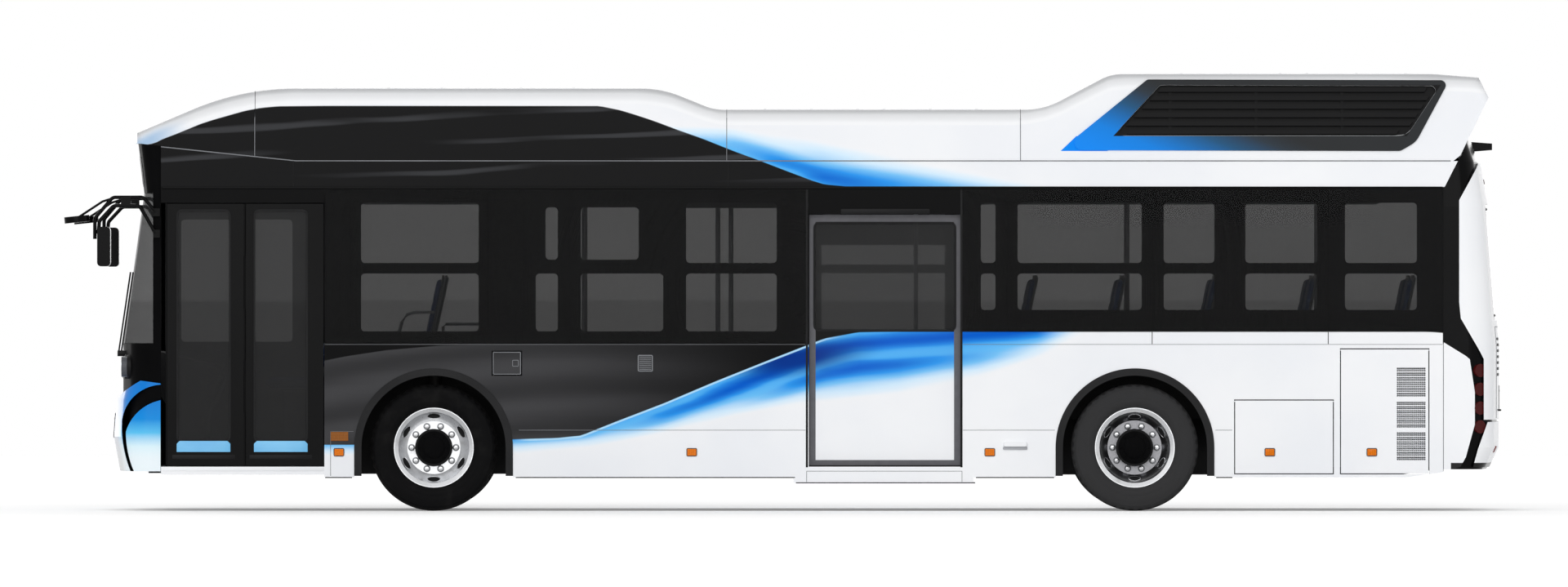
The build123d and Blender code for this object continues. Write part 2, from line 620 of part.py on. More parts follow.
BUMPER_SECTIONS = [(300, 45), (560, 0), (850, 22), (1010, 58)]
with BuildPart() as front_bumper:
    for level, front in BUMPER_SECTIONS:
        with BuildSketch(Plane.XY.offset(level)):
            with BuildLine():
                nose_plan(front, 1040, 75, SKIN_Y, BODY_START - 3)
            make_face()
    loft(ruled=True)
    with BuildSketch(Plane.XY.offset(200)):
        with BuildLine():
            nose_plan(MASK_FRONT, 1050, 80, BASE_Y, BODY_START)
        make_face()
    extrude(amount=1000, mode=Mode.SUBTRACT)
    with BuildSketch(left_plane(1300)):
        with BuildLine():
            Polyline((at(400), 962), (at(400), 300), (at(-50), 300), (at(-50), 775))
            ThreePointArc((at(-50), 775), (at(84), 890), (at(230), 985))
            Line((at(230), 985), (at(400), 962))
        make_face()
    extrude(amount=-2600, mode=Mode.INTERSECT)
    with BuildSketch(left_plane(1300)):
        with BuildLine():
            ThreePointArc((at(400), 955), (at(210), 892), (at(85), 685))
            ThreePointArc((at(85), 685), (at(95), 500), (at(160), 280))
            Line((at(160), 280), (at(188), 280))
            ThreePointArc((at(188), 280), (at(128), 470), (at(118), 600))
            ThreePointArc((at(118), 600), (at(215), 752), (at(400), 840))
            Line((at(400), 840), (at(400), 955))
        make_face()
    extrude(amount=-2600, mode=Mode.SUBTRACT)
    with BuildSketch(Plane.YZ.offset(at(-50))):
        with Locations((TOW_Y, TOW_FRONT_Z)):
            Circle(TOW_PORT_R)
    extrude(amount=250, mode=Mode.SUBTRACT)
export("front_bumper", front_bumper.part)

# Rear: dark shell with the painted panels over it
TAIL_WALL = 50.0
TAIL_SKIN = 15.0
TAIL_FACE = LENGTH - TAIL_SKIN
# level, rear station, half width, reach of the rear arc
TAIL_SECTIONS = [
    (315, TAIL_FACE - 77, BASE_Y, 1060), (480, TAIL_FACE, BASE_Y, 1060), (1250, TAIL_FACE, BASE_Y, 1060),
    (Z_EAVES - 130, TAIL_FACE - 82, BASE_Y, 1070), (Z_ROOF - 5, TAIL_FACE - 140, 1205, 1080),
    (Z_ROOF + 215, TAIL_FACE - 217, 1195, 1090),
]


REAR_WINDOW_TOP = Z_EAVES - 150.0
REAR_WINDOW_H = REAR_WINDOW_TOP - Z_REAR_WAIST - 125.0
REAR_WINDOW_Z = REAR_WINDOW_TOP - REAR_WINDOW_H / 2


def tail_stack(grow, rows):
    # Plan outlines of the tail at each level, grown outwards.
    return [(level, rear + grow, reach + grow, half + grow) for level, rear, half, reach in rows]


with BuildPart() as tail_shape:
    for level, rear, reach, half in tail_stack(0, TAIL_SECTIONS):
        with BuildSketch(Plane.XY.offset(level)):
            with BuildLine():
                tail_plan(rear, reach, 60, half, BODY_END)
            make_face()
    loft(ruled=True)

with BuildPart() as tail_skin_shape:
    for level, rear, reach, half in tail_stack(TAIL_SKIN, TAIL_SECTIONS):
        with BuildSketch(Plane.XY.offset(level)):
            with BuildLine():
                tail_plan(rear, reach, 60, half, BODY_END + 3)
            make_face()
    loft(ruled=True)
    add(tail_shape.part, mode=Mode.SUBTRACT)

with BuildPart() as rear_shell:
    add(tail_shape.part)
    core_sections = [(250, TAIL_FACE - 77, BASE_Y, 1060)] + TAIL_SECTIONS[1:5] + [(Z_ROOF + 165, TAIL_FACE - 202, 1195, 1090)]
    for level, rear, reach, half in tail_stack(-TAIL_WALL, core_sections):
        with BuildSketch(Plane.XY.offset(level)):
            with BuildLine():
                tail_plan(rear, reach, 60, half, BODY_END - 80)
            make_face()
    loft(ruled=True, mode=Mode.SUBTRACT)
    with BuildSketch(Plane.YZ.offset(at(10250))):
        with Locations((0, REAR_WINDOW_Z)):
            RectangleRounded(1760, REAR_WINDOW_H, 80)
        with Locations((TOW_Y, TOW_REAR_Z)):
            Circle(TOW_PORT_R)
    extrude(amount=400, mode=Mode.SUBTRACT)
    with BuildSketch(left_plane(1300)):
        with BuildLine():
            Polyline((at(9900), Z_ROOF + 255), (at(9900), Z_EAVES), (at(BODY_END), Z_EAVES), (at(10187), Z_ROOF),
                     (at(10215), Z_ROOF + 45), (at(10312), Z_ROOF + 255), close=True)
        make_face()
    extrude(amount=-2600, mode=Mode.SUBTRACT)
    with BuildSketch(left_plane(45)):
        with BuildLine():
            Polyline((at(10300), Z_ROOF + 75), (at(10478), Z_ROOF + 90), (at(10478), Z_ROOF + 140),
                     (at(10300), Z_ROOF + 153), close=True)
        make_face()
    extrude(amount=-90)
export("rear_shell", rear_shell.part)

REAR_PANELS = [
    [(10350, Z_ROOF - 15), (10195, Z_EAVES - 80), (10195, 1580), (10207, 1456), (10350, 1210), (10382, 1148),
     (10382, 690), (10600, 690), (10600, Z_ROOF - 15)],
    [(10412, 672), (10600, 672), (10600, 330), (10300, 330), (10338, 470)],
    [(BODY_END + 3, 300), (BODY_END + 3, 1275), (10245, 1172), (10275, 1147), (10313, 900), (10313, 654),
     (10245, 407), (10205, 335)],
]
with BuildPart() as rear_panels:
    add(tail_skin_shape.part)
    with BuildSketch(left_plane(1300)):
        for outline in REAR_PANELS:
            with BuildLine():
                Polyline(*[(at(s), z) for s, z in outline], close=True)
            make_face()
    extrude(amount=-2600, mode=Mode.INTERSECT)
    with BuildSketch(Plane.YZ.offset(at(10400))):
        with Locations((0, REAR_WINDOW_Z)):
            RectangleRounded(1840, REAR_WINDOW_H + 80, 100)
        with Locations((TOW_Y, TOW_REAR_Z)):
            Circle(TOW_PORT_R)
    extrude(amount=200, mode=Mode.SUBTRACT)
export("rear_panels", rear_panels.part)

with BuildPart() as rear_window:
    with BuildSketch(Plane.YZ.offset(at(10250))):
        with Locations((0, REAR_WINDOW_Z)):
            RectangleRounded(1760 - 2 * FIT, REAR_WINDOW_H - 2 * FIT, 80)
    extrude(amount=400)
    add(tail_shape.part, mode=Mode.INTERSECT)
    for level, rear, reach, half in tail_stack(-12, TAIL_SECTIONS):
        with BuildSketch(Plane.XY.offset(level)):
            with BuildLine():
                tail_plan(rear, reach, 60, half, BODY_END - 50)
            make_face()
    loft(ruled=True, mode=Mode.SUBTRACT)
export("rear_window", rear_window.part)

# Floor: low deck, a step in the gangway up to the rear platform, and a towing socket on a bracket at each end
FLOOR_START = 400.0
STEP_TOP = 545.0
STEP_DEPTH = 300.0
AISLE_HALF = 320.0
# Side view of each bracket, and the bore's start station, end station and level
TOW_BRACKETS = [
    ([(FLOOR_START, FLOOR_TOP - FLOOR_THICK), (250, FLOOR_TOP - FLOOR_THICK), (250, TOW_FRONT_Z + 50),
      (330, TOW_FRONT_Z + 50), (330, FLOOR_TOP), (FLOOR_START, FLOOR_TOP)], 250, 330, TOW_FRONT_Z),
    ([(BODY_END, PLATFORM_TOP - FLOOR_THICK), (10150, PLATFORM_TOP - FLOOR_THICK), (10150, TOW_REAR_Z - 50),
      (10230, TOW_REAR_Z - 50), (10230, PLATFORM_TOP), (BODY_END, PLATFORM_TOP)], 10150, 10230, TOW_REAR_Z),
]

with BuildPart() as floor_deck:
    with BuildSketch(left_plane(INNER_Y)):
        with BuildLine():
            Polyline(*[(at(s), z) for s, z in [
                (FLOOR_START, FLOOR_TOP - FLOOR_THICK), (PLATFORM_START + 60, FLOOR_TOP - FLOOR_THICK),
                (PLATFORM_START + 60, PLATFORM_TOP - FLOOR_THICK), (BODY_END, PLATFORM_TOP - FLOOR_THICK),
                (BODY_END, PLATFORM_TOP), (PLATFORM_START, PLATFORM_TOP), (PLATFORM_START, FLOOR_TOP),
                (FLOOR_START, FLOOR_TOP)]], close=True)
        make_face()
    extrude(amount=-2 * INNER_Y)
    for axle, inner in ((FRONT_AXLE, FRONT_HOUSING_Y), (REAR_AXLE, REAR_HOUSING_Y)):
        with BuildSketch(Plane.XY.offset(200)):
            for side in (-1, 1):
                with Locations((at(axle), side * (inner + 1400) / 2)):
                    Rectangle(2 * HOUSING_HALF, 1400 - inner)
        extrude(amount=700, mode=Mode.SUBTRACT)
    with BuildSketch(Plane.XY.offset(STEP_TOP - FLOOR_THICK)):
        with Locations((at(PLATFORM_START + STEP_DEPTH / 2), 0)):
            Rectangle(STEP_DEPTH + 60, 2 * AISLE_HALF + 60)
    extrude(amount=PLATFORM_TOP - STEP_TOP + FLOOR_THICK)
    with BuildSketch(Plane.XY.offset(STEP_TOP)):
        with Locations((at(PLATFORM_START + STEP_DEPTH / 2), 0)):
            Rectangle(STEP_DEPTH + 0.01, 2 * AISLE_HALF)
    extrude(amount=400, mode=Mode.SUBTRACT)
    for outline, bore_start, bore_end, bore_z in TOW_BRACKETS:
        with BuildSketch(right_plane(TOW_Y + TOW_HALF)):
            with BuildLine():
                Polyline(*[(at(s), z) for s, z in outline], close=True)
            make_face()
        extrude(amount=2 * TOW_HALF)
        with BuildSketch(Plane.YZ.offset(at(bore_start))):
            with Locations((TOW_Y, bore_z)):
                Circle(TOW_BORE_R)
        extrude(amount=bore_end - bore_start, mode=Mode.SUBTRACT)
export("floor_deck", floor_deck.part)

with BuildPart() as wheel_housings:
    for axle, inner, bottom in ((FRONT_AXLE, FRONT_HOUSING_Y, FLOOR_TOP - FLOOR_THICK),
                                (REAR_AXLE, REAR_HOUSING_Y, PLATFORM_TOP - FLOOR_THICK)):
        for side in (-1, 1):
            with BuildSketch(Plane.XY.offset(bottom)):
                with Locations((at(axle), side * (inner + INNER_Y) / 2)):
                    Rectangle(2 * HOUSING_HALF, INNER_Y - inner)
            extrude(amount=HOUSING_TOP + HOUSING_WALL - bottom)
            with BuildSketch(Plane.XY.offset(bottom)):
                with Locations((at(axle), side * (inner + HOUSING_WALL + INNER_Y + 200) / 2)):
                    Rectangle(2 * HOUSING_HALF - 2 * HOUSING_WALL, INNER_Y + 200 - inner - HOUSING_WALL)
            extrude(amount=HOUSING_TOP - bottom, mode=Mode.SUBTRACT)
export("wheel_housings", wheel_housings.part)


# Wheels: rim with hub as one turned piece, and the tyre round it
def wheel_plane(station, side, y_abs):
    # Local x points outboard along the axle, local y up.
    return Plane(origin=(at(station), side * y_abs, TYRE_R), x_dir=(0, side, 0), z_dir=(side, 0, 0))


def axle_axis(station, side, y_abs):
    return Axis((at(station), side * y_abs, TYRE_R), (0, 1, 0))


TYRE_PROFILE = [(-104, RIM_SEAT + FIT), (-TYRE_W / 2, 395), (-118, TYRE_R), (118, TYRE_R), (TYRE_W / 2, 395),
                (93, RIM_SEAT + FIT)]
FRONT_RIM_PROFILE = [(-60, SPINDLE_R + RUN_CLEAR), (40, SPINDLE_R + RUN_CLEAR), (40, 0), (104, 0), (104, 140),
                     (78, 140), (78, 200), (34, 262), (86, 268), (RIM_HALF, 296), (RIM_HALF, RIM_FLANGE),
                     (94, RIM_SEAT), (-RIM_HALF, RIM_SEAT), (-RIM_HALF, 268), (-60, 268)]
REAR_RIM_PROFILE = [(-420, SPINDLE_R + RUN_CLEAR), (-100, SPINDLE_R + RUN_CLEAR), (-100, 0), (45, 0), (45, 140),
                    (-60, 140), (-60, 205), (-20, 256), (86, 268), (RIM_HALF, 296), (RIM_HALF, RIM_FLANGE),
                    (94, RIM_SEAT), (-RIM_HALF, RIM_SEAT), (-RIM_HALF, 250), (-205, 250), (-205, RIM_SEAT),
                    (-420, RIM_SEAT)]

WHEELS = (("front_left", FRONT_AXLE, -1, FRONT_WHEEL_Y, FRONT_RIM_PROFILE),
          ("front_right", FRONT_AXLE, 1, FRONT_WHEEL_Y, FRONT_RIM_PROFILE),
          ("rear_left", REAR_AXLE, -1, REAR_WHEEL_Y, REAR_RIM_PROFILE),
          ("rear_right", REAR_AXLE, 1, REAR_WHEEL_Y, REAR_RIM_PROFILE))

for wheel_name, station, side, wheel_y, profile in WHEELS:
    hub_plane = wheel_plane(station, side, wheel_y)
    with BuildPart() as rim:
        with BuildSketch(hub_plane):
            with BuildLine():
                Polyline(*profile, close=True)
            make_face()
        revolve(axis=axle_axis(station, side, wheel_y))
        hole_base = (at(station), side * (wheel_y - 40), TYRE_R)
        with BuildSketch(Plane(origin=hole_base, x_dir=(1, 0, 0), z_dir=(0, side, 0))):
            with PolarLocations(238, 6, start_angle=90):
                Ellipse(15, 42)
        extrude(amount=200, mode=Mode.SUBTRACT)
    export("wheel_" + wheel_name, rim.part)
    with BuildPart() as tyre:
        with BuildSketch(hub_plane):
            with BuildLine():
                Polyline(*TYRE_PROFILE, close=True)
            make_face()
        revolve(axis=axle_axis(station, side, wheel_y))
        if station == REAR_AXLE:
            with BuildSketch(wheel_plane(station, side, wheel_y - TWIN_PITCH)):
                with BuildLine():
                    Polyline(*TYRE_PROFILE, close=True)
                make_face()
            revolve(axis=axle_axis(station, side, wheel_y))
    export("tyre_" + wheel_name, tyre.part)

# Front axle: dropped beam with an eye for each kingpin
KINGPIN_R = 26.0
EYE_R = 48.0
EYE_HALF = 60.0
BEAM = [(-850, 430), (-850, 520), (-750, 480), (-520, 262), (520, 262), (750, 480), (850, 520), (850, 430),
        (770, 395), (540, 182), (-540, 182), (-770, 395)]
with BuildPart() as front_axle:
    with BuildSketch(Plane.YZ.offset(at(FRONT_AXLE) - 45)):
        with BuildLine():
            Polyline(*BEAM, close=True)
        make_face()
    extrude(amount=90)
    for side in (-1, 1):
        with BuildSketch(Plane.XY.offset(TYRE_R - EYE_HALF)):
            with Locations((at(FRONT_AXLE), side * KINGPIN_Y)):
                Circle(EYE_R)
        extrude(amount=2 * EYE_HALF)
        with BuildSketch(Plane.XY.offset(TYRE_R - 200)):
            with Locations((at(FRONT_AXLE), side * KINGPIN_Y)):
                Circle(KINGPIN_R + RUN_CLEAR)
        extrude(amount=400, mode=Mode.SUBTRACT)
export("front_axle", front_axle.part)

for knuckle_name, side in (("knuckle_left", -1), ("knuckle_right", 1)):
    with BuildPart() as knuckle:
        with BuildSketch(Plane.XY.offset(TYRE_R - 110)):
            with Locations((at(FRONT_AXLE), side * KINGPIN_Y)):
                Circle(KINGPIN_R)
        extrude(amount=220)
        for bottom in (TYRE_R - 106, TYRE_R + EYE_HALF + 6):
            with BuildSketch(Plane.XY.offset(bottom)):
                with Locations((at(FRONT_AXLE), side * KINGPIN_Y)):
                    Circle(46)
                with Locations((at(FRONT_AXLE), side * (KINGPIN_Y + 35))):
                    Rectangle(92, 70)
            extrude(amount=40)
        with BuildSketch(Plane.XY.offset(TYRE_R - 106)):
            with Locations((at(FRONT_AXLE), side * (KINGPIN_Y + 70))):
                Rectangle(110, 30)
        extrude(amount=212)
        spindle_base = (at(FRONT_AXLE), side * (KINGPIN_Y + 70), TYRE_R)
        with BuildSketch(Plane(origin=spindle_base, x_dir=(1, 0, 0), z_dir=(0, side, 0))):
            Circle(SPINDLE_R)
        extrude(amount=115)
    export(knuckle_name, knuckle.part)

# Rear axle: tube, drive housing and the wheel spindles
with BuildPart() as rear_axle:
    with BuildSketch(Plane.XZ.offset(-(REAR_WHEEL_Y - 426))):
        with Locations((at(REAR_AXLE), TYRE_R)):
            Circle(90)
    extrude(amount=2 * (REAR_WHEEL_Y - 426))
    with BuildSketch(Plane.XZ.offset(-170)):
        with Locations((at(REAR_AXLE) + 30, TYRE_R)):
            Circle(200)
    extrude(amount=340)
    with BuildSketch(Plane.XZ.offset(-(REAR_WHEEL_Y - 106))):
        with Locations((at(REAR_AXLE), TYRE_R)):
            Circle(SPINDLE_R)
    extrude(amount=2 * (REAR_WHEEL_Y - 106))
    for side in (-1, 1):
        with BuildSketch(Plane.XY.offset(TYRE_R - 45)):
            with Locations((at(REAR_AXLE), side * 480)):
                Rectangle(900, 70)
        extrude(amount=90)
export("rear_axle", rear_axle.part)

# Air springs on pads, front ones over the beam and rear ones fore and aft of the axle
with BuildPart() as suspension:
    for side in (-1, 1):
        with BuildSketch(Plane.XY.offset(300)):
            with Locations((at(FRONT_AXLE), side * 620)):
                Circle(45)
        extrude(amount=HOUSING_TOP - 300)
        with BuildSketch(Plane.XY.offset(560)):
            with Locations((at(FRONT_AXLE), side * 620)):
                Circle(95)
        extrude(amount=240)
        for offset in (-380, 380):
            with BuildSketch(Plane.XY.offset(TYRE_R + 45)):
                with Locations((at(REAR_AXLE) + offset, side * 480)):
                    Circle(70)
            extrude(amount=PLATFORM_TOP - FLOOR_THICK - TYRE_R - 45)
    with BuildSketch(Plane.YZ.offset(at(FRONT_AXLE) - 45)):
        with BuildLine():
            Polyline(*BEAM, close=True)
        make_face()
    extrude(amount=90, mode=Mode.SUBTRACT)
export("suspension", suspension.part)

# Front door: two equal leaves folding inwards, their pin lines just outside the outer faces
HINGE_Y = DOOR_PIN_Y
BARREL_R = 6.0
DOOR_PIN_R = DOOR_SOCKET_R - RUN_CLEAR
LEAF_SPAN = (DOOR_END - DOOR_START) / 2
FOLD_STATION = DOOR_START + LEAF_SPAN
KNUCKLES = 5
KNUCKLE_LENGTH = (DOOR_TOP - DOOR_BOTTOM) / KNUCKLES


def barrel(station, bottom, top, edge):
    # A round hinge barrel on the pin line and the web that carries it from the leaf's edge.
    with Locations((at(station), -HINGE_Y, (bottom + top) / 2)):
        Cylinder(BARREL_R, top - bottom)
    with Locations((at((station + edge) / 2), -HINGE_Y + 3, (bottom + top) / 2)):
        Box(abs(edge - station) + 2, 4, top - bottom)


with BuildPart() as door_leaf_front:
    with BuildSketch(left_plane(LEAF_Y - LEAF)):
        box_outline([(DOOR_START + LEAF_GAP, FOLD_STATION - LEAF_GAP, DOOR_BOTTOM, DOOR_TOP)], 0, 0)
        with BuildSketch(mode=Mode.SUBTRACT):
            box_outline([(DOOR_START + 85, FOLD_STATION - 115, 530, DOOR_TOP - 50)], 0, WINDOW_CORNER)
    extrude(amount=LEAF)
    barrel(DOOR_START, DOOR_BOTTOM, DOOR_TOP, DOOR_START + LEAF_GAP)
    with Locations((at(DOOR_START), -HINGE_Y, (DOOR_BOTTOM + DOOR_TOP) / 2)):
        Cylinder(DOOR_PIN_R, DOOR_TOP - DOOR_BOTTOM + 44)
    for row in (0, 2, 4):
        low = DOOR_BOTTOM + row * KNUCKLE_LENGTH
        barrel(FOLD_STATION, low, low + KNUCKLE_LENGTH, FOLD_STATION - LEAF_GAP)
    with Locations((at(FOLD_STATION), -HINGE_Y, (DOOR_BOTTOM + DOOR_TOP) / 2)):
        Cylinder(DOOR_PIN_R - 1, DOOR_TOP - DOOR_BOTTOM)
export("door_leaf_front", door_leaf_front.part)

with BuildPart() as door_leaf_rear:
    with BuildSketch(left_plane(LEAF_Y - LEAF)):
        box_outline([(FOLD_STATION + LEAF_GAP, DOOR_END, DOOR_BOTTOM, DOOR_TOP)], 0, 0)
        with BuildSketch(mode=Mode.SUBTRACT):
            box_outline([(FOLD_STATION + 75, DOOR_END - 125, 530, DOOR_TOP - 50)], 0, WINDOW_CORNER)
    extrude(amount=LEAF)
    for row in (1, 3):
        low = DOOR_BOTTOM + row * KNUCKLE_LENGTH + 1
        barrel(FOLD_STATION, low, low + KNUCKLE_LENGTH - 2, FOLD_STATION + LEAF_GAP)
    with Locations((at(FOLD_STATION), -HINGE_Y, (DOOR_BOTTOM + DOOR_TOP) / 2)):
        Cylinder(DOOR_PIN_R - 1 + RUN_CLEAR, DOOR_TOP - DOOR_BOTTOM, mode=Mode.SUBTRACT)
export("door_leaf_rear", door_leaf_rear.part)

for glass_name, start, end in (("door_glass_front", DOOR_START + 85, FOLD_STATION - 115),
                               ("door_glass_rear", FOLD_STATION + 75, DOOR_END - 125)):
    with BuildPart() as door_glass:
        with BuildSketch(left_plane(LEAF_Y - LEAF / 2 - 4)):
            box_outline([(start, end, 530, DOOR_TOP - 50)], 0, WINDOW_CORNER)
        extrude(amount=8)
    export(glass_name, door_glass.part)

# Centre door: a single leaf hung on the rail inside the wall
with BuildPart() as centre_door:
    with BuildSketch(left_plane(SLIDE_OUT_Y - SLIDE_THICK)):
        box_outline([(SLIDE_START + 4, SLIDE_END - 4, SLIDE_BOTTOM, SLIDE_TOP)], 0, 0)
        with BuildSketch(mode=Mode.SUBTRACT):
            box_outline([(SLIDE_START + 42, SLIDE_END - 42, 1365, SLIDE_TOP - 62)], 0, WINDOW_CORNER)
    extrude(amount=SLIDE_THICK)
    for hanger in (SLIDE_START + 180, SLIDE_END - 180):
        with BuildSketch(left_plane(SLIDE_OUT_Y - SLIDE_THICK - 12)):
            box_outline([(hanger - 60, hanger + 60, SLIDE_TOP - 55, RAIL_Z + 30)], 0, 0)
        extrude(amount=12 - 3.4)
        with BuildSketch(left_plane(SLIDE_OUT_Y - SLIDE_THICK - 12)):
            box_outline([(hanger - 60, hanger + 60, SLIDE_TOP - 55, SLIDE_TOP - 15)], 0, 0)
        extrude(amount=12)
        with BuildSketch(left_plane(SLIDE_OUT_Y - SLIDE_THICK - 12)):
            box_outline([(hanger - 60, hanger + 60, RAIL_Z + FIT, RAIL_Z + 30)], 0, 0)
        extrude(amount=40)
export("centre_door", centre_door.part)

with BuildPart() as centre_door_glass:
    with BuildSketch(left_plane(SLIDE_OUT_Y - SLIDE_THICK / 2 - 4)):
        box_outline([(SLIDE_START + 42, SLIDE_END - 42, 1365, SLIDE_TOP - 62)], 0, WINDOW_CORNER)
    extrude(amount=8)
export("centre_door_glass", centre_door_glass.part)

# Seats: one side profile each, with the foot cut to where it stands
SEAT_PROFILE_TOP = [(-60, 350), (10, 365), (150, 1010), (85, 1025), (-30, 455), (-430, 440), (-430, 345),
                    (-300, 345)]
# back foot station, cushion base level, level of the floor below, inner |y|, outer |y|, side
SEATS = [
    (1560, 560, 500, 440, 900, 1),
    (2383, 755, 1066, 640, 1090, -1), (2383, 755, 1066, 640, 1090, 1),
    (3850, 335, 335, 640, 1090, -1), (4650, 335, 335, 640, 1090, -1),
    (3850, 335, 335, 640, 1090, 1), (4650, 335, 335, 640, 1090, 1), (5450, 335, 335, 640, 1090, 1),
] + [(s, 755, base, 345, outer, side) for s, base, outer in
     ((6870, 755, 1090), (7534, 1066, 1150), (8244, 1066, 1150), (8984, 755, 1150), (9725, 755, 1150))
     for side in (-1, 1)]

with BuildPart() as seats:
    for station, cushion, base, inner, outer, side in SEATS:
        foot = [(-300, base - cushion), (-60, base - cushion)]
        with BuildSketch(Plane.XZ.offset(-side * (outer if side > 0 else inner))):
            with BuildLine():
                Polyline(*[(at(station) + dx, cushion + dz) for dx, dz in foot + SEAT_PROFILE_TOP], close=True)
            make_face()
        extrude(amount=outer - inner)
export("seats", seats.part)

# Driver's platform, dashboard and steering wheel
STEER_CENTRE = (at(890), 640.0, 1130.0)
STEER_AXIS = (0.45, 0.0, 0.893)
with BuildPart() as dashboard:
    with BuildSketch(right_plane(1150)):
        with BuildLine():
            Polyline(*[(at(s), z) for s, z in [(405, FLOOR_TOP), (700, FLOOR_TOP), (700, 700), (830, 1010),
                                               (790, 1090), (345, 1205), (345, 900), (405, 800)]], close=True)
        make_face()
    extrude(amount=1650)
    with BuildSketch(Plane.XY.offset(FLOOR_TOP)):
        with Locations((at(1200), 720)):
            Rectangle(1000, 860)
    extrude(amount=500 - FLOOR_TOP)
    with BuildSketch(Plane(origin=STEER_CENTRE, x_dir=(0, 1, 0), z_dir=STEER_AXIS)):
        Circle(230)
        Circle(205, mode=Mode.SUBTRACT)
        Rectangle(430, 40)
    extrude(amount=24)
    with BuildSketch(Plane(origin=STEER_CENTRE, x_dir=(0, 1, 0), z_dir=STEER_AXIS)):
        Circle(38)
    extrude(amount=-360)
export("dashboard", dashboard.part)

# Stanchions from floor to ceiling and two ceiling rails
POLE_R = 17.0
# station, y, foot level
POLES = [(1720, -560, FLOOR_TOP), (1760, 400, FLOOR_TOP), (3576, -560, FLOOR_TOP), (3576, 560, FLOOR_TOP),
         (4690, -600, FLOOR_TOP), (4690, 600, FLOOR_TOP), (6099, 560, FLOOR_TOP), (7700, -310, PLATFORM_TOP),
         (7700, 310, PLATFORM_TOP), (9150, -310, PLATFORM_TOP), (9150, 310, PLATFORM_TOP)]
with BuildPart() as handrails:
    for station, y, foot in POLES:
        with BuildSketch(Plane.XY.offset(foot)):
            with Locations((at(station), y)):
                Circle(POLE_R)
        extrude(amount=CEILING - foot)
    for side in (-1, 1):
        with BuildSketch(Plane.YZ.offset(at(1900))):
            with Locations((side * 480, CEILING - 265)):
                Circle(POLE_R)
        extrude(amount=7700)
        for hanger in (2000, 3850, 5700, 7550, 9400):
            with BuildSketch(Plane.XY.offset(CEILING - 265)):
                with Locations((at(hanger), side * 480)):
                    Circle(10)
            extrude(amount=265)
export("handrails", handrails.part)

# Mirrors: two bent bars on each screen pillar, the main head and an oval under-view glass ahead of it
BAR_R = 14.0
MIRROR_Y = 1241.0
MIRROR_HEAD_Y = 1200.0
# station, drop below the eaves
UPPER_BAR = [(345, 172), (252, 59), (21, 59), (-114, 217), (-114, 374)]
LOWER_BAR = [(345, 334), (223, 122), (28, 122), (-80, 238), (-88, 335)]
with BuildPart() as mirrors:
    for side in (-1, 1):
        bar_plane = Plane(origin=(0, side * MIRROR_Y, 0), x_dir=(1, 0, 0), z_dir=(0, -1, 0))
        for bar in (UPPER_BAR, LOWER_BAR):
            with BuildLine(bar_plane) as bar_path:
                FilletPolyline(*[(at(s), Z_EAVES - drop) for s, drop in bar], radius=45)
            with BuildSketch(bar_path.line ^ 0):
                Circle(BAR_R)
            sweep(path=bar_path.line)
        with Locations((at(120), side * MIRROR_Y, Z_EAVES - 90)):
            Box(75, 2 * BAR_R, 66)
        for drop in (UPPER_BAR[0][1], LOWER_BAR[0][1]):
            with Locations((at(352), side * (MIRROR_Y - 6), Z_EAVES - drop)):
                Box(50, 36, 60)
        with BuildSketch(Plane(origin=(0, side * MIRROR_HEAD_Y + 95, 0), x_dir=(1, 0, 0), z_dir=(0, -1, 0))):
            with Locations((at(-46), Z_EAVES - 431)):
                RectangleRounded(100, 300, 30)
        extrude(amount=190)
        with BuildLine(bar_plane) as rod_path:
            FilletPolyline((at(45), Z_EAVES - 59), (at(-55), Z_EAVES - 90), (at(-235), Z_EAVES - 208), radius=30)
        with BuildSketch(rod_path.line ^ 0):
            Circle(9)
        sweep(path=rod_path.line)
        with BuildSketch(Plane(origin=(at(-250), side * MIRROR_Y, Z_EAVES - 225), x_dir=(1, 0, 0.1), z_dir=(-0.1, 0, 1))):
            Ellipse(95, 80)
        extrude(amount=24, both=True)
    add(front_mask.part, mode=Mode.SUBTRACT)
export("mirrors", mirrors.part)

# Lamps
HEADLAMP_Z = 1090.0
with BuildPart() as front_lamps:
    for side in (-1, 1):
        for lamp_y in (800, 975):
            with BuildSketch(Plane.YZ.offset(at(80))):
                with Locations((side * lamp_y, HEADLAMP_Z)):
                    Circle(78)
            extrude(amount=110)
    add(front_mask.part, mode=Mode.SUBTRACT)
    with BuildSketch(Plane.XY.offset(200)):
        with BuildLine():
            nose_plan(MASK_FRONT, 1050, 80, BASE_Y, BODY_START)
        make_face()
    extrude(amount=1200, mode=Mode.SUBTRACT)
export("front_lamps", front_lamps.part)

with BuildPart() as rear_lamps:
    for side in (-1, 1):
        for lamp_z in (636, 778, 920, 1062):
            lamp_base = (at(10320), side * 1165, lamp_z)
            with BuildSketch(Plane(origin=lamp_base, x_dir=(0, 0, 1), z_dir=(0.6, side * 0.8, 0))):
                Circle(50)
            extrude(amount=62)
    add(tail_shape.part, mode=Mode.SUBTRACT)
    add(rear_panels.part, mode=Mode.SUBTRACT)
export("rear_lamps", rear_lamps.part)

MARKERS = [(1696, 1764, 419, 469), (4362, 4430, 419, 469), (6614, 6682, 419, 469), (1668, 1800, 530, 598)]
with BuildPart() as marker_lamps:
    for plane in (left_plane(SKIN_Y), right_plane(SKIN_Y + 5)):
        with BuildSketch(plane):
            box_outline(MARKERS, 0, 0)
        extrude(amount=5)
export("marker_lamps", marker_lamps.part)

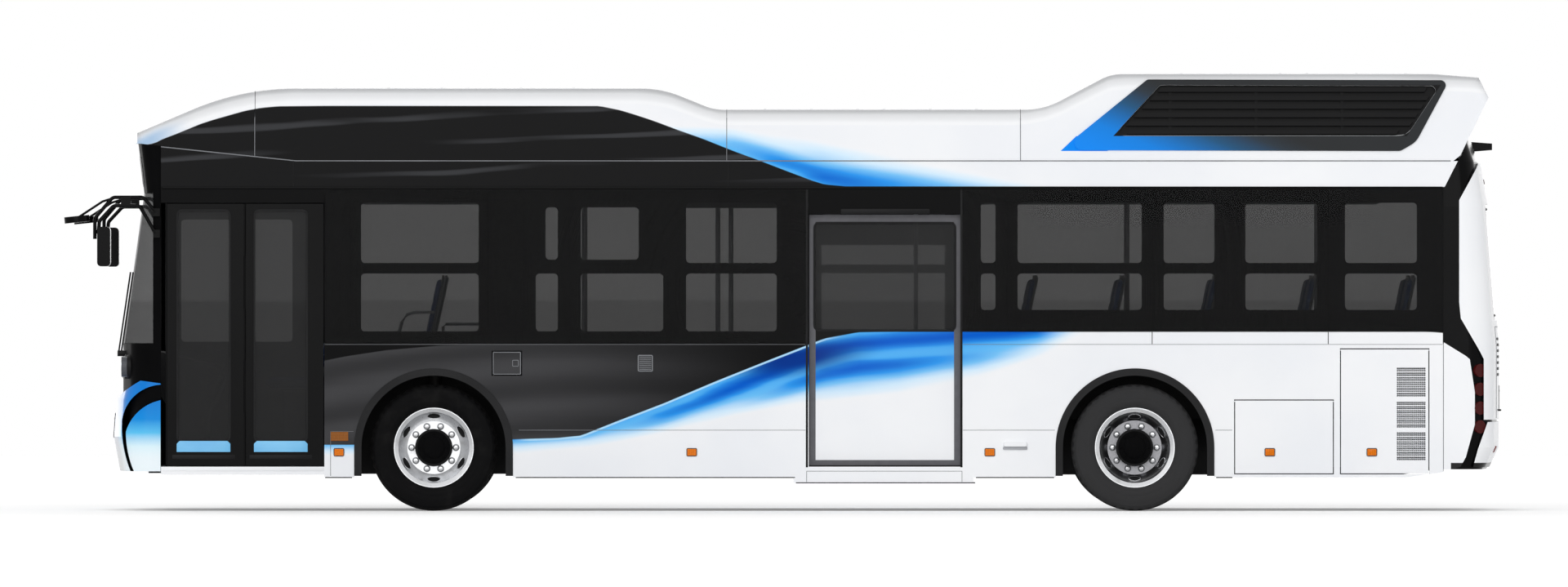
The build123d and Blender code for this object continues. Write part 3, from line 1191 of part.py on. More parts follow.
# Screen wipers
with BuildPart() as wipers:
    for pivot_y in (-620, 120):
        with BuildSketch(Plane.YZ.offset(at(40))):
            with Locations((pivot_y, 1190)):
                Circle(22)
        extrude(amount=80)
        with BuildSketch(Plane(origin=(at(48), pivot_y, 1190), x_dir=(0, 1, 0), z_dir=(0.135, 0.25, 0.96))):
            Rectangle(26, 12)
        extrude(amount=640)
    with BuildSketch(Plane.XY.offset(200)):
        with BuildLine():
            nose_plan(MASK_FRONT, 1050, 80, BASE_Y, BODY_START)
        make_face()
    extrude(amount=MASK_TOP - 200, mode=Mode.SUBTRACT)
    add(windscreen.part, mode=Mode.SUBTRACT)
export("wipers", wipers.part)
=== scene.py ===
"""City bus: paint scheme, glass, wheels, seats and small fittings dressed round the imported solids."""
import math

import bmesh
import bpy
from mathutils import Matrix, Vector
from mathutils.bvhtree import BVHTree


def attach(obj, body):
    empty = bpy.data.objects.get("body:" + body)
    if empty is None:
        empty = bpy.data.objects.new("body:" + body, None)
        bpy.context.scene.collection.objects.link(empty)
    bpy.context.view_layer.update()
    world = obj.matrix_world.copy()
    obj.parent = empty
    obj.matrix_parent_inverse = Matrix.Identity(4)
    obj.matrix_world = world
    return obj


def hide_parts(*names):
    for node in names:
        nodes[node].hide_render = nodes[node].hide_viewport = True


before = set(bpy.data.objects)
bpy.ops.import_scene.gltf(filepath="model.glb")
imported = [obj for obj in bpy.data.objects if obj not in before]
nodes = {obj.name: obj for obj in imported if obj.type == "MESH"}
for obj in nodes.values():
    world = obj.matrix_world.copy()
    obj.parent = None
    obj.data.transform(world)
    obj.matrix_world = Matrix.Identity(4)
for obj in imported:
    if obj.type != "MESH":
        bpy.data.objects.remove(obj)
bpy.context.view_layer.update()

# Metres in the CAD frame. Stations are millimetres behind the front bumper face.
MID_STATION = 5090.0
SKIN_Y = 1.240
CEILING = 2.605
TYRE_R = 0.4785
FRONT_AXLE = 2445.0
REAR_AXLE = 7745.0
FRONT_WHEEL_Y = 1.032
REAR_WHEEL_Y = 1.066
REAR_INNER_Y = 0.754
SIDES = (-1.0, 1.0)
HANDS = ((-1.0, "left"), (1.0, "right"))


def at(station):
    """x of a station."""
    return (station - MID_STATION) / 1000.0


def ink(red, green, blue):
    """A colour as it looks on a screen, 0 to 255 a channel, as the shader's linear colour."""
    def straight(channel):
        share = channel / 255.0
        return share / 12.92 if share <= 0.04045 else ((share + 0.055) / 1.055) ** 2.4
    return (straight(red), straight(green), straight(blue), 1.0)


# Shader maths

class Value:
    """One value in a finish's node tree: its operators add Math nodes."""

    def __init__(self, finish, socket):
        self.finish = finish
        self.socket = socket

    def math(self, operation, *others):
        return self.finish.node("Math", {"operation": operation}, dict(enumerate((self, *others))))

    def ripple(self):
        """The sine of the value, brought to 0 to 1."""
        return self.math("SINE") * 0.5 + 0.5

    def __add__(self, other):
        return self.math("ADD", other)

    def __sub__(self, other):
        return self.math("SUBTRACT", other)

    def __mul__(self, other):
        return self.math("MULTIPLY", other)

    def __truediv__(self, other):
        return self.math("DIVIDE", other)

    def __rsub__(self, other):
        return self.finish.node("Math", {"operation": "SUBTRACT"}, {0: other, 1: self})

    __radd__ = __add__
    __rmul__ = __mul__


class Finish:
    """A material, or the air of the studio, under construction. x, y and z are metres in the CAD frame at rest."""

    def __init__(self, name, air=None):
        self.material = air or bpy.data.materials.new(name)
        self.material.use_nodes = True
        self.tree = self.material.node_tree
        self.tree.nodes.clear()
        self.place = self.node("TexCoord", out="Object")
        self.x, self.y, self.z = (self.node("SeparateXYZ", {}, {0: self.place}, axis) for axis in "XYZ")

    def node(self, kind, settings=None, sockets=None, out=0):
        made = self.tree.nodes.new("ShaderNode" + kind)
        for name, setting in (settings or {}).items():
            if name == "stops":
                elements = made.color_ramp.elements
                elements[0].position, elements[0].color = setting[0]
                elements[1].position, elements[1].color = setting[-1]
                for position, colour in setting[1:-1]:
                    elements.new(position).color = colour
            else:
                setattr(made, name, setting)
        for key, value in (sockets or {}).items():
            if isinstance(value, Value):
                self.tree.links.new(value.socket, made.inputs[key])
            else:
                made.inputs[key].default_value = value
        return Value(self, made.outputs[out]) if made.outputs else None

    def noise(self, scale, detail=3.0, stretch=None):
        """Noise from 0 to 1. stretch scales each axis."""
        place = self.place
        if stretch:
            place = self.node("VectorMath", {"operation": "MULTIPLY"}, {0: place, 1: stretch})
        return self.node("TexNoise", {}, {"Vector": place, "Scale": scale, "Detail": detail})

    def ease(self, value, low, high):
        """0 at low, 1 at high, smooth between, whichever is larger."""
        return self.node("MapRange", {"interpolation_type": "SMOOTHSTEP"},
                         {"Value": value, "From Min": low, "From Max": high})

    def line(self, table, top=4.0):
        """Height in metres along x, straight between (x, height) rows. top is the height that white stands for."""
        start, end = table[0][0], table[-1][0]
        share = self.node("MapRange", {}, {"Value": self.x, "From Min": start, "From Max": end})
        stops = [((x - start) / (end - start), (z / top, z / top, z / top, 1.0)) for x, z in table]
        return self.ramp(share, stops) * top

    def ramp(self, value, stops):
        """A colour from (share, colour) stops."""
        return self.node("ValToRGB", {"stops": stops}, {"Fac": value})

    def mix(self, share, first, second):
        """Colour first where share is 0, second where it is 1."""
        return self.node("Mix", {"data_type": "RGBA"}, {0: share, 6: first, 7: second}, 2)

    def inside(self, low_x, high_x, low_z, high_z, soft):
        """1 inside a box of the side view."""
        across = self.ease(self.x, low_x - soft, low_x + soft) * self.ease(self.x, high_x + soft, high_x - soft)
        return across * self.ease(self.z, low_z - soft, low_z + soft) * self.ease(self.z, high_z + soft, high_z - soft)

    def looked_at(self):
        """1 for the camera, and for what metal and glass show of the surroundings."""
        rays = ("Is Camera Ray", "Is Glossy Ray", "Is Transmission Ray")
        camera, gloss, through = (self.node("LightPath", out=ray) for ray in rays)
        return camera.math("MAXIMUM", gloss).math("MAXIMUM", through)

    def close(self, colour, rough, grain, depth, **fixed):
        """Joins colour, roughness and a grain of that depth in metres to the shader and gives the material."""
        fixed = {name.replace("_", " "): value for name, value in fixed.items()}
        bump = self.node("Bump", {}, {"Strength": 0.6, "Distance": depth, "Height": grain})
        shader = self.node("BsdfPrincipled", {}, {"Base Color": colour, "Roughness": rough, "Normal": bump, **fixed})
        self.node("OutputMaterial", {}, {"Surface": shader})
        return self.material


def plain(name, tone, shade, rough, grain, depth, **fixed):
    """A finish of one colour: soft blotches from shade to tone, uneven gloss and a fine grain."""
    f = Finish(name)
    blotch = f.ease(f.noise(1.7), 0.3, 0.7)
    fine = f.noise(grain)
    return f.close(f.mix(blotch, shade, tone), (fine - 0.5) * 0.12 + rough, fine, depth, **fixed)


def coat(f, colour, rough, gloss, fine=None):
    """Closes a paint: slow waves in its gloss and its surface, under a fine grain."""
    wave = f.noise(3.0)
    grain = wave + (fine or f.noise(160.0)) * 0.03
    return f.close(colour, (wave - 0.5) * 0.1 + rough, grain, 0.0006, Specular_IOR_Level=gloss)


# Paint scheme: heights in metres along x on the bus sides
BLACK_TOP = [(-4.90, 2.764), (-4.81, 2.770), (-4.75, 2.783), (-4.69, 2.814), (-4.59, 2.851), (-4.50, 2.888),
             (-4.41, 2.925), (-4.32, 2.955), (-4.19, 2.992), (-4.07, 3.026), (-3.95, 3.048), (-3.82, 3.060),
             (-3.45, 3.063), (-1.39, 3.062), (-1.23, 3.029), (-1.11, 2.992), (-0.98, 2.949), (-0.80, 2.881),
             (-0.61, 2.814), (-0.37, 2.718), (-0.16, 2.641), (0.00, 2.579), (0.22, 2.496), (0.31, 2.469),
             (0.47, 2.454), (5.50, 2.450)]
ROOF_TOP = [(-4.90, 2.857), (-4.75, 2.931), (-4.59, 2.992), (-4.41, 3.060), (-4.19, 3.128), (-3.95, 3.178),
            (-3.70, 3.196), (-1.11, 3.196), (-0.98, 3.187), (-0.86, 3.165), (-0.74, 3.122), (-0.61, 3.073),
            (-0.49, 3.042), (-0.37, 3.036), (1.73, 3.036), (1.85, 3.045), (1.98, 3.070), (2.10, 3.113),
            (2.22, 3.174), (2.35, 3.239), (2.47, 3.295), (2.59, 3.307), (4.57, 3.307), (5.19, 3.289), (5.28, 3.276)]
BLACK_LOW = [(-5.10, 0.500), (-3.20, 0.500), (-2.90, 0.535), (-2.02, 0.541), (-1.72, 0.549), (-1.53, 0.568),
             (-1.27, 0.672), (-0.90, 0.814), (-0.52, 0.975), (-0.15, 1.123), (0.15, 1.240), (0.31, 1.302),
             (0.56, 1.350), (0.87, 1.357), (4.85, 1.357), (5.50, 1.300)]
ROOF_PALE = [(-1.20, 2.95), (-0.61, 2.935), (-0.37, 2.935), (0.25, 2.845), (0.87, 2.721), (1.48, 2.598), (2.28, 2.440)]
ROOF_DEEP = [(-1.20, 2.80), (-0.61, 2.721), (-0.18, 2.598), (0.25, 2.493), (0.74, 2.382), (1.48, 2.240), (2.28, 2.050)]
SKIRT_PALE = [(-5.10, 0.38), (-2.00, 0.40), (-1.48, 0.455), (-0.90, 0.560), (-0.37, 0.690), (0.25, 0.790),
              (0.87, 0.851), (1.48, 0.963), (1.98, 1.148), (2.40, 1.380)]
SKIRT_DEEP = [(-5.10, 0.57), (-2.00, 0.62), (-1.48, 0.640), (-0.90, 0.780), (-0.37, 0.932), (0.25, 1.055),
              (0.87, 1.148), (1.36, 1.271), (1.92, 1.394), (2.40, 1.600)]
SMOKE_TOP = [(-3.50, 1.130), (-3.30, 1.170), (-3.00, 1.215), (-2.60, 1.250), (-2.20, 1.257), (5.50, 1.257)]

WHITE = ink(247, 248, 250)
WHITE_SHADE = ink(240, 242, 246)
JET = (0.0032, 0.0032, 0.0034, 1.0)
BLUES = [(0.0, WHITE), (0.22, ink(214, 238, 255)), (0.5, ink(120, 196, 248)), (0.75, ink(46, 152, 238)),
         (1.0, ink(0, 92, 204))]
DEEP_BLUE = ink(0, 52, 140)


def white_tone(f):
    """The white of the body, in soft blotches."""
    return f.mix(f.ease(f.noise(0.9), 0.3, 0.7), WHITE_SHADE, WHITE)


def scheme(f):
    """The side paint: white with painted shade in grey on the roof shoulders, two blue sweeps that fade, and the black
    between them.
    """
    drift = f.noise(1.0, 2.0, (0.5, 0.0, 5.0))
    white = white_tone(f)
    # Painted shade: on the shoulders the white greys towards the roof's top edge, for the shading of their rounded edge
    below_top = f.line(ROOF_TOP) - f.z
    shoulder = f.ramp(f.ease(below_top, 0.0, 0.125), [(0.0, ink(188, 189, 191)), (0.25, ink(222, 223, 225)),
                                                      (0.7, ink(236, 237, 239)), (0.9, ink(246, 247, 249))])
    white = f.mix(f.ease(below_top, 0.125, 0.115) * f.ease(f.y.math("ABSOLUTE"), 0.96, 1.06), white, shoulder)

    # Blue: one sweep comes down from the roof and one up from the skirt, rippled, with a deep core in the lower one
    low_edge = f.line(BLACK_LOW)
    top_edge = f.line(BLACK_TOP)
    low_half = f.ease(f.z, 1.81, 1.79)
    roof_blue = f.ease(f.z, f.line(ROOF_PALE), f.line(ROOF_DEEP)) * f.ease(f.x, -1.60, -1.20)
    skirt_blue = f.ease(f.z, f.line(SKIRT_PALE), f.line(SKIRT_DEEP))
    depth = (low_edge - f.z) * low_half + (f.z - top_edge) * (1.0 - low_half)
    swell = (depth * 30.0 + f.x * 1.3 + drift * 4.0).ripple()
    blue = roof_blue + (skirt_blue - roof_blue) * low_half
    blue = blue * (1.0 - swell * 0.30)
    behind = f.ease(f.x, 2.38, 1.9)
    sweep = f.ramp(blue, BLUES)
    glow = f.ease(swell, 0.55, 1.0) * f.ease(blue, 0.25, 0.6)
    sweep = f.mix(glow * 0.55, sweep, ink(96, 190, 250))
    core_x, core_z = (f.x - 0.10) / 0.75, (f.z - 1.150 - (f.x - 0.10) * 0.16) / 0.17
    sweep = f.mix(f.ease((core_x * core_x + core_z * core_z).math("SQRT"), 1.0, 0.15), sweep, DEEP_BLUE)
    painted = f.mix(f.ease(blue, 0.0, 0.12) * behind, white, sweep)

    # Black: grey smoke low down at the front; above the eaves a slightly lighter black and fine light streaks, both a
    # painted sheen and painted glints of the sky on the leaning fairing
    band = f.ease(f.z, low_edge - 0.004, low_edge + 0.004) * f.ease(f.z, top_edge + 0.004, top_edge - 0.004)
    fold = ((f.z - 0.2) * 21.0 + (f.x + 1.2) * (f.x + 1.2) * 0.9 + drift * 3.0).ripple()
    smoke = f.ease(f.x, 0.10, -2.10) * f.ease(f.z, f.line(SMOKE_TOP) + 0.003, f.line(SMOKE_TOP) - 0.003)
    smoke = smoke * (fold * 0.45 + 0.55)
    black = f.mix(smoke, JET, ink(66, 66, 68))
    glint_streak = f.ease((f.z * 30.0 - f.x * 1.6 + drift * 4.0).math("SINE"), 0.72, 1.0) * f.ease(drift, 0.40, 0.62)
    # Painted sheen: the black above the eaves is lifted a little towards grey, and painted glints run over it in light
    # streaks
    black = f.mix(f.ease(f.z, 2.44, 2.46) * 0.18, black, ink(44, 44, 45))
    black = f.mix(glint_streak * f.ease(f.z, 2.45, 2.52) * 0.60, black, ink(70, 71, 74))
    coloured = f.mix(band, painted, black)

    # A blue wedge in front of the louvres, and a pale line along the lower edge of the black
    slope = f.ease(f.x - (f.z - 2.722) * 1.05, 2.090, 2.098) * f.ease(f.x, 2.46, 2.44)
    slope = slope * f.ease(f.z, 2.719, 2.723) * f.ease(f.z, 2.836, 2.832)
    coloured = f.mix(slope, coloured, ink(8, 138, 246))
    rim = f.ease((f.z - low_edge + 0.006).math("ABSOLUTE"), 0.011, 0.004)
    rim = rim * f.ease(f.x, -2.05, -1.9) * f.ease(f.x, 0.5, 0.2)
    return f.mix(rim, coloured, ink(176, 222, 252))


def body_paint():
    """The livery outside, and a plain lining on the cabin side of the walls."""
    f = Finish("body_paint")
    fine = f.noise(160.0, 2.0)
    cabin_side = f.ease(f.y.math("ABSOLUTE"), 1.208, 1.204) * f.ease(f.z, 2.615, 2.605)
    below_windows = f.ease(f.z, 1.264, 1.258) * f.ease(f.x, -3.62, -3.50)
    dark_lining = f.mix(fine, ink(20, 20, 21), ink(27, 27, 28))
    grey_lining = f.mix(fine, ink(86, 88, 92), ink(98, 100, 104))
    lining = f.mix(below_windows, dark_lining, grey_lining)
    return coat(f, f.mix(cabin_side, scheme(f), lining), 0.22, 0.04, fine)


def white_paint():
    """The roof, the sill and other plain white parts."""
    f = Finish("white_paint")
    return coat(f, white_tone(f), 0.40, 0.03)


def rear_paint():
    """The rear panels: white, with a dark valance along the bottom."""
    f = Finish("rear_paint")
    valance = f.ease(f.z, 0.366, 0.362) * f.ease(f.x, 5.040, 5.044)
    return coat(f, f.mix(valance, white_tone(f), JET), 0.24, 0.2)


def roof_cap_paint():
    """The front roof cap: the livery, its leading edge tinted pale blue."""
    f = Finish("roof_cap_paint")
    black_top = f.line(BLACK_TOP)
    tip = f.ease(f.x, -4.45, -4.80) * f.ease(f.line(ROOF_TOP) - f.z, 0.02, 0.10)
    tip = tip * f.ease(f.z, black_top - 0.004, black_top + 0.004)
    return coat(f, f.mix(tip * 0.9, scheme(f), ink(160, 192, 224)), 0.22, 0.04)


def nose_paint():
    """The front bumper: grey-blue in the middle and blue at the corners, both paler towards the bottom."""
    f = Finish("nose_paint")
    side = f.ease(f.y.math("ABSOLUTE"), 0.70, 1.18)
    corner = f.ramp(f.ease(f.z, 0.36, 0.95), [(0.0, ink(240, 250, 255)), (0.12, ink(222, 246, 255)),
                                              (0.34, ink(92, 194, 243)), (0.6, ink(14, 140, 222)),
                                              (1.0, ink(8, 122, 210))])
    centre = f.ramp(f.ease(f.z, 0.3, 0.95), [(0.0, ink(206, 208, 210)), (0.4, ink(190, 197, 212)),
                                             (1.0, ink(120, 136, 168))])
    return coat(f, f.mix(side, centre, corner), 0.24, 0.15)


def louvre_paint():
    """The louvre frame, blue at its lower front corner and dark grey beyond, round near-black slats."""
    f = Finish("louvre_paint")
    wave = f.noise(4.0)
    away = (f.x - 2.10) * 0.62 + (f.z - 2.70) * 1.5
    frame_tone = f.ramp(f.ease(away, 0.0, 1.3), [(0.0, ink(8, 138, 246)), (0.34, ink(14, 128, 222)),
                                                 (0.74, ink(34, 84, 124)), (0.93, ink(44, 54, 64)),
                                                 (1.0, ink(40, 42, 44))])
    rise = f.z - 2.832
    opening = f.ease(f.x - rise * 0.925, 2.486, 2.492) * f.ease(f.x - rise * 0.667, 4.712, 4.706)
    opening = opening * f.ease(f.z, 2.832, 2.836) * f.ease(f.z, 3.224, 3.218)
    colour = f.mix(opening, frame_tone, f.mix(wave, ink(5, 5, 6), ink(10, 10, 11)))
    return f.close(colour, (wave - 0.5) * 0.1 + 0.35, wave, 0.0006, Specular_IOR_Level=0.09)


def centre_door_paint():
    """The sliding door: grey frame round a panel that carries the side's paint on."""
    f = Finish("centre_door_paint")
    panel = f.inside(at(5284) + 0.048, at(6426) - 0.048, 0.345 + 0.040, 2.240 - 0.055, 0.001)
    frame_tone = f.mix(f.noise(20.0), ink(92, 92, 96), ink(108, 108, 112))
    inner = f.mix(f.ease(f.z, 1.352, 1.356), scheme(f), JET)
    return coat(f, f.mix(panel, frame_tone, inner), 0.3, 0.09)


def from_axle(f, axle):
    """Distance from an axle in the side view."""
    off_x = f.x - at(axle)
    off_z = f.z - TYRE_R
    return (off_x * off_x + off_z * off_z).math("SQRT")


def rim_metal(name, axle, disc):
    """Brushed wheel metal round an axle, with the hub in black. disc is the tone inside the flange; on the rear wheels
    it is a darker grey, painted shade of the dished disc.
    """
    f = Finish(name)
    radius = from_axle(f, axle)
    hub = f.ease(radius, 0.1425, 0.1405)
    ring = f.noise(90.0, 2.0)
    turn = (radius * 900.0).ripple()
    grime = f.ease(f.noise(14.0, 5.0), 0.5, 0.85)
    metal = f.mix(f.ease(radius, 0.236, 0.262), disc, ink(206, 207, 209))
    metal = f.mix(grime * 0.35, metal, ink(120, 118, 114))
    colour = f.mix(hub, metal, ink(9, 9, 10))
    rough = ring * 0.1 + grime * 0.12 + 0.24 + hub * 0.2
    return f.close(colour, rough, turn * 0.2 + ring, 0.0004, Metallic=1.0 - hub, Specular_IOR_Level=0.1)


def tyre_rubber(name, axle, tone):
    """Rubber of that tone, dusty in blotches and towards the tread."""
    f = Finish(name)
    radius = from_axle(f, axle)
    dust = f.ease(f.noise(9.0, 5.0), 0.45, 0.8) * 0.35 + f.ease(radius, 0.455, 0.478) * 0.3
    colour = f.mix(dust * 0.6, tone, ink(46, 45, 44))
    fine = f.noise(220.0)
    return f.close(colour, fine * 0.12 + 0.62, fine, 0.0006, Specular_IOR_Level=0.07)


def glazing(name, tint, cover, gloss):
    """Tinted glass that shows the inside dimly, darker below 1.59 m as a painted reflection of the horizon. cover is
    the share that each face of a pane hides.
    """
    f = Finish(name)
    smear = f.noise(2.2)
    painted_horizon_tint = [channel * 0.7 for channel in tint[:3]] + [1.0]
    # Painted reflection: below 1.59 m the tint darkens and the cover grows a little, as the horizon reflected in the
    # glass
    colour = f.mix(f.ease(f.z + smear * 0.02, 1.585, 1.600), painted_horizon_tint, tint)
    return f.close(colour, smear * 0.03 + 0.02, f.noise(1.1), 0.0004, Specular_IOR_Level=gloss,
                   Alpha=smear * 0.02 + f.ease(f.z, 1.600, 1.585) * 0.03 + cover)


def lamp_lens(name, tone, upper_tone):
    """A ribbed lens. upper_tone is its colour above 0.5 m."""
    f = Finish(name)
    ribs = (f.z * 520.0).ripple()
    cells = (f.x * 420.0 + f.y * 420.0).ripple()
    tone = f.mix(f.ease(f.z, 0.499, 0.501), tone, upper_tone)
    colour = f.mix(ribs * 0.2 + cells * 0.1, tone, ink(30, 12, 8))
    return f.close(colour, cells * 0.06 + 0.1, ribs * cells, 0.001, Specular_IOR_Level=0.14)


def seat_cloth():
    """Woven blue seat cloth with a woven-in fleck."""
    f = Finish("seat_cloth")
    warp = (f.x * 1500.0).ripple()
    weft = (f.y * 1500.0 + f.z * 900.0).ripple()
    fleck = f.ease(f.noise(70.0, 1.0), 0.6, 0.66)
    colour = f.mix(warp * 0.3 + weft * 0.2, ink(24, 52, 104), ink(40, 76, 138))
    colour = f.mix(fleck * 0.6, colour, ink(150, 176, 214))
    return f.close(colour, f.noise(40.0) * 0.1 + 0.8, warp * weft, 0.0008, Sheen_Weight=0.25)


BODY = body_paint()
WHITE_COAT = white_paint()
REAR_COAT = rear_paint()
CAP = roof_cap_paint()
NOSE = nose_paint()
LOUVRE = louvre_paint()
CENTRE_DOOR = centre_door_paint()
GLOSS_BLACK = plain("gloss_black", (0.0016, 0.0016, 0.0018, 1.0), (0.0010, 0.0010, 0.0011, 1.0), 0.16, 60.0, 0.0003,
                    Specular_IOR_Level=0.07)
DEEP_BLACK = plain("deep_black", (0.0040, 0.0040, 0.0043, 1.0), (0.0028, 0.0028, 0.0030, 1.0), 0.5, 60.0, 0.0003,
                    Specular_IOR_Level=0.01)
SATIN_BLACK = plain("satin_black", ink(28, 28, 29), ink(20, 20, 21), 0.5, 90.0, 0.0008, Specular_IOR_Level=0.12)
TRIM_GREY = plain("trim_grey", ink(40, 40, 41), ink(32, 32, 33), 0.55, 120.0, 0.0008, Specular_IOR_Level=0.10)
HANDLE_GREY = plain("handle_grey", ink(168, 170, 174), ink(150, 152, 156), 0.45, 90.0, 0.0004)
JOINT_GREY = plain("joint_grey", ink(124, 126, 130), ink(108, 110, 114), 0.5, 90.0, 0.0004)
RUBBER = plain("seal_rubber", ink(24, 24, 25), ink(17, 17, 18), 0.7, 200.0, 0.0008, Specular_IOR_Level=0.2)
CAST_IRON = plain("cast_iron", ink(58, 57, 56), ink(40, 38, 37), 0.65, 60.0, 0.002, Metallic=0.4)
STEEL = plain("bright_steel", ink(200, 201, 203), ink(170, 170, 172), 0.26, 140.0, 0.0003, Metallic=0.95)
FLOORING = plain("cabin_floor", ink(84, 86, 90), ink(70, 72, 76), 0.75, 160.0, 0.001)
RAIL = plain("rail_metal", ink(150, 152, 155), ink(132, 134, 137), 0.34, 90.0, 0.0003, Metallic=0.6)
PLASTIC = plain("dash_plastic", ink(48, 49, 51), ink(38, 38, 40), 0.62, 180.0, 0.0008)
SEAT_SHELL = plain("seat_shell", ink(92, 96, 102), ink(78, 82, 88), 0.5, 160.0, 0.0006)
UNIT_GREY = plain("unit_grey", ink(142, 144, 146), ink(122, 124, 126), 0.6, 50.0, 0.0012, Metallic=0.3)
MIRROR = plain("mirror_glass", ink(214, 220, 226), ink(202, 208, 216), 0.04, 4.0, 0.0001, Metallic=1.0)
KICK_BLUE = plain("kick_blue", ink(124, 200, 240), ink(96, 176, 228), 0.3, 90.0, 0.0004)
BLANK = plain("blank_plate", ink(232, 233, 236), ink(222, 224, 227), 0.4, 120.0, 0.0004)
SIGN_DARK = plain("blank_sign", ink(18, 18, 20), ink(13, 13, 14), 0.40, 30.0, 0.0003, Specular_IOR_Level=0.03)
CLOTH = seat_cloth()
SIDE_TINT = glazing("side_glass", (0.0050, 0.0051, 0.0053, 1.0), 0.505, 0.07)
DOOR_TINT = glazing("door_glass", (0.0250, 0.0253, 0.0258, 1.0), 0.66, 0.07)
SCREEN_TINT = glazing("screen_glass", (0.0400, 0.0409, 0.0418, 1.0), 0.44, 0.0)
CLEAR_LENS = lamp_lens("clear_lens", ink(92, 95, 100), ink(92, 95, 100))
RED_LENS = lamp_lens("red_lens", ink(120, 10, 9), ink(72, 8, 8))
AMBER_LENS = lamp_lens("amber_lens", ink(240, 124, 4), ink(150, 88, 26))
RIM_FRONT = rim_metal("rim_front", FRONT_AXLE, ink(204, 205, 207))
# Painted shade: the rear disc inside the flange is a darker grey for the shadow in its dish
RIM_REAR = rim_metal("rim_rear", REAR_AXLE, ink(128, 128, 131))
TYRE_FRONT = tyre_rubber("tyre_rubber_front", FRONT_AXLE, ink(8, 8, 9))
TYRE_REAR = tyre_rubber("tyre_rubber_rear", REAR_AXLE, ink(52, 52, 53))

NODE_FINISH = {
    BODY: "left_skirt right_skirt left_window_wall right_window_wall cantrails fairing_front fairing_mid "
          "fairing_rear filler_lid battery_hatch vent_hatch",
    CAP: "roof_cap",
    WHITE_COAT: "roof_panel",
    REAR_COAT: "rear_panels",
    NOSE: "front_bumper",
    LOUVRE: "roof_louvres",
    GLOSS_BLACK: "rear_shell door_leaf_front door_leaf_rear mirrors",
    DEEP_BLACK: "front_header front_mask",
    CENTRE_DOOR: "centre_door",
    TRIM_GREY: "arch_trims",
    SATIN_BLACK: "wheel_housings wipers",
    FLOORING: "floor_deck",
    PLASTIC: "dashboard",
    RAIL: "handrails",
    UNIT_GREY: "heavy_units",
    CAST_IRON: "front_axle rear_axle suspension knuckle_left knuckle_right",
    SIDE_TINT: "side_glass rear_window",
    DOOR_TINT: "door_glass_front door_glass_rear centre_door_glass",
    SCREEN_TINT: "windscreen",
    CLEAR_LENS: "front_lamps",
    RED_LENS: "rear_lamps",
    AMBER_LENS: "marker_lamps",
    RIM_FRONT: "wheel_front_left wheel_front_right",
    RIM_REAR: "wheel_rear_left wheel_rear_right",
    TYRE_FRONT: "tyre_front_left tyre_front_right",
    TYRE_REAR: "tyre_rear_left tyre_rear_right",
    SEAT_SHELL: "seats",
}
for finish, names in NODE_FINISH.items():
    for name in names.split():
        node_mesh = nodes[name].data
        node_mesh.materials.clear()
        node_mesh.materials.append(finish)


# Mesh stock: each piece is one joined mesh built up from profiled bars, turned rings, tubes and plates

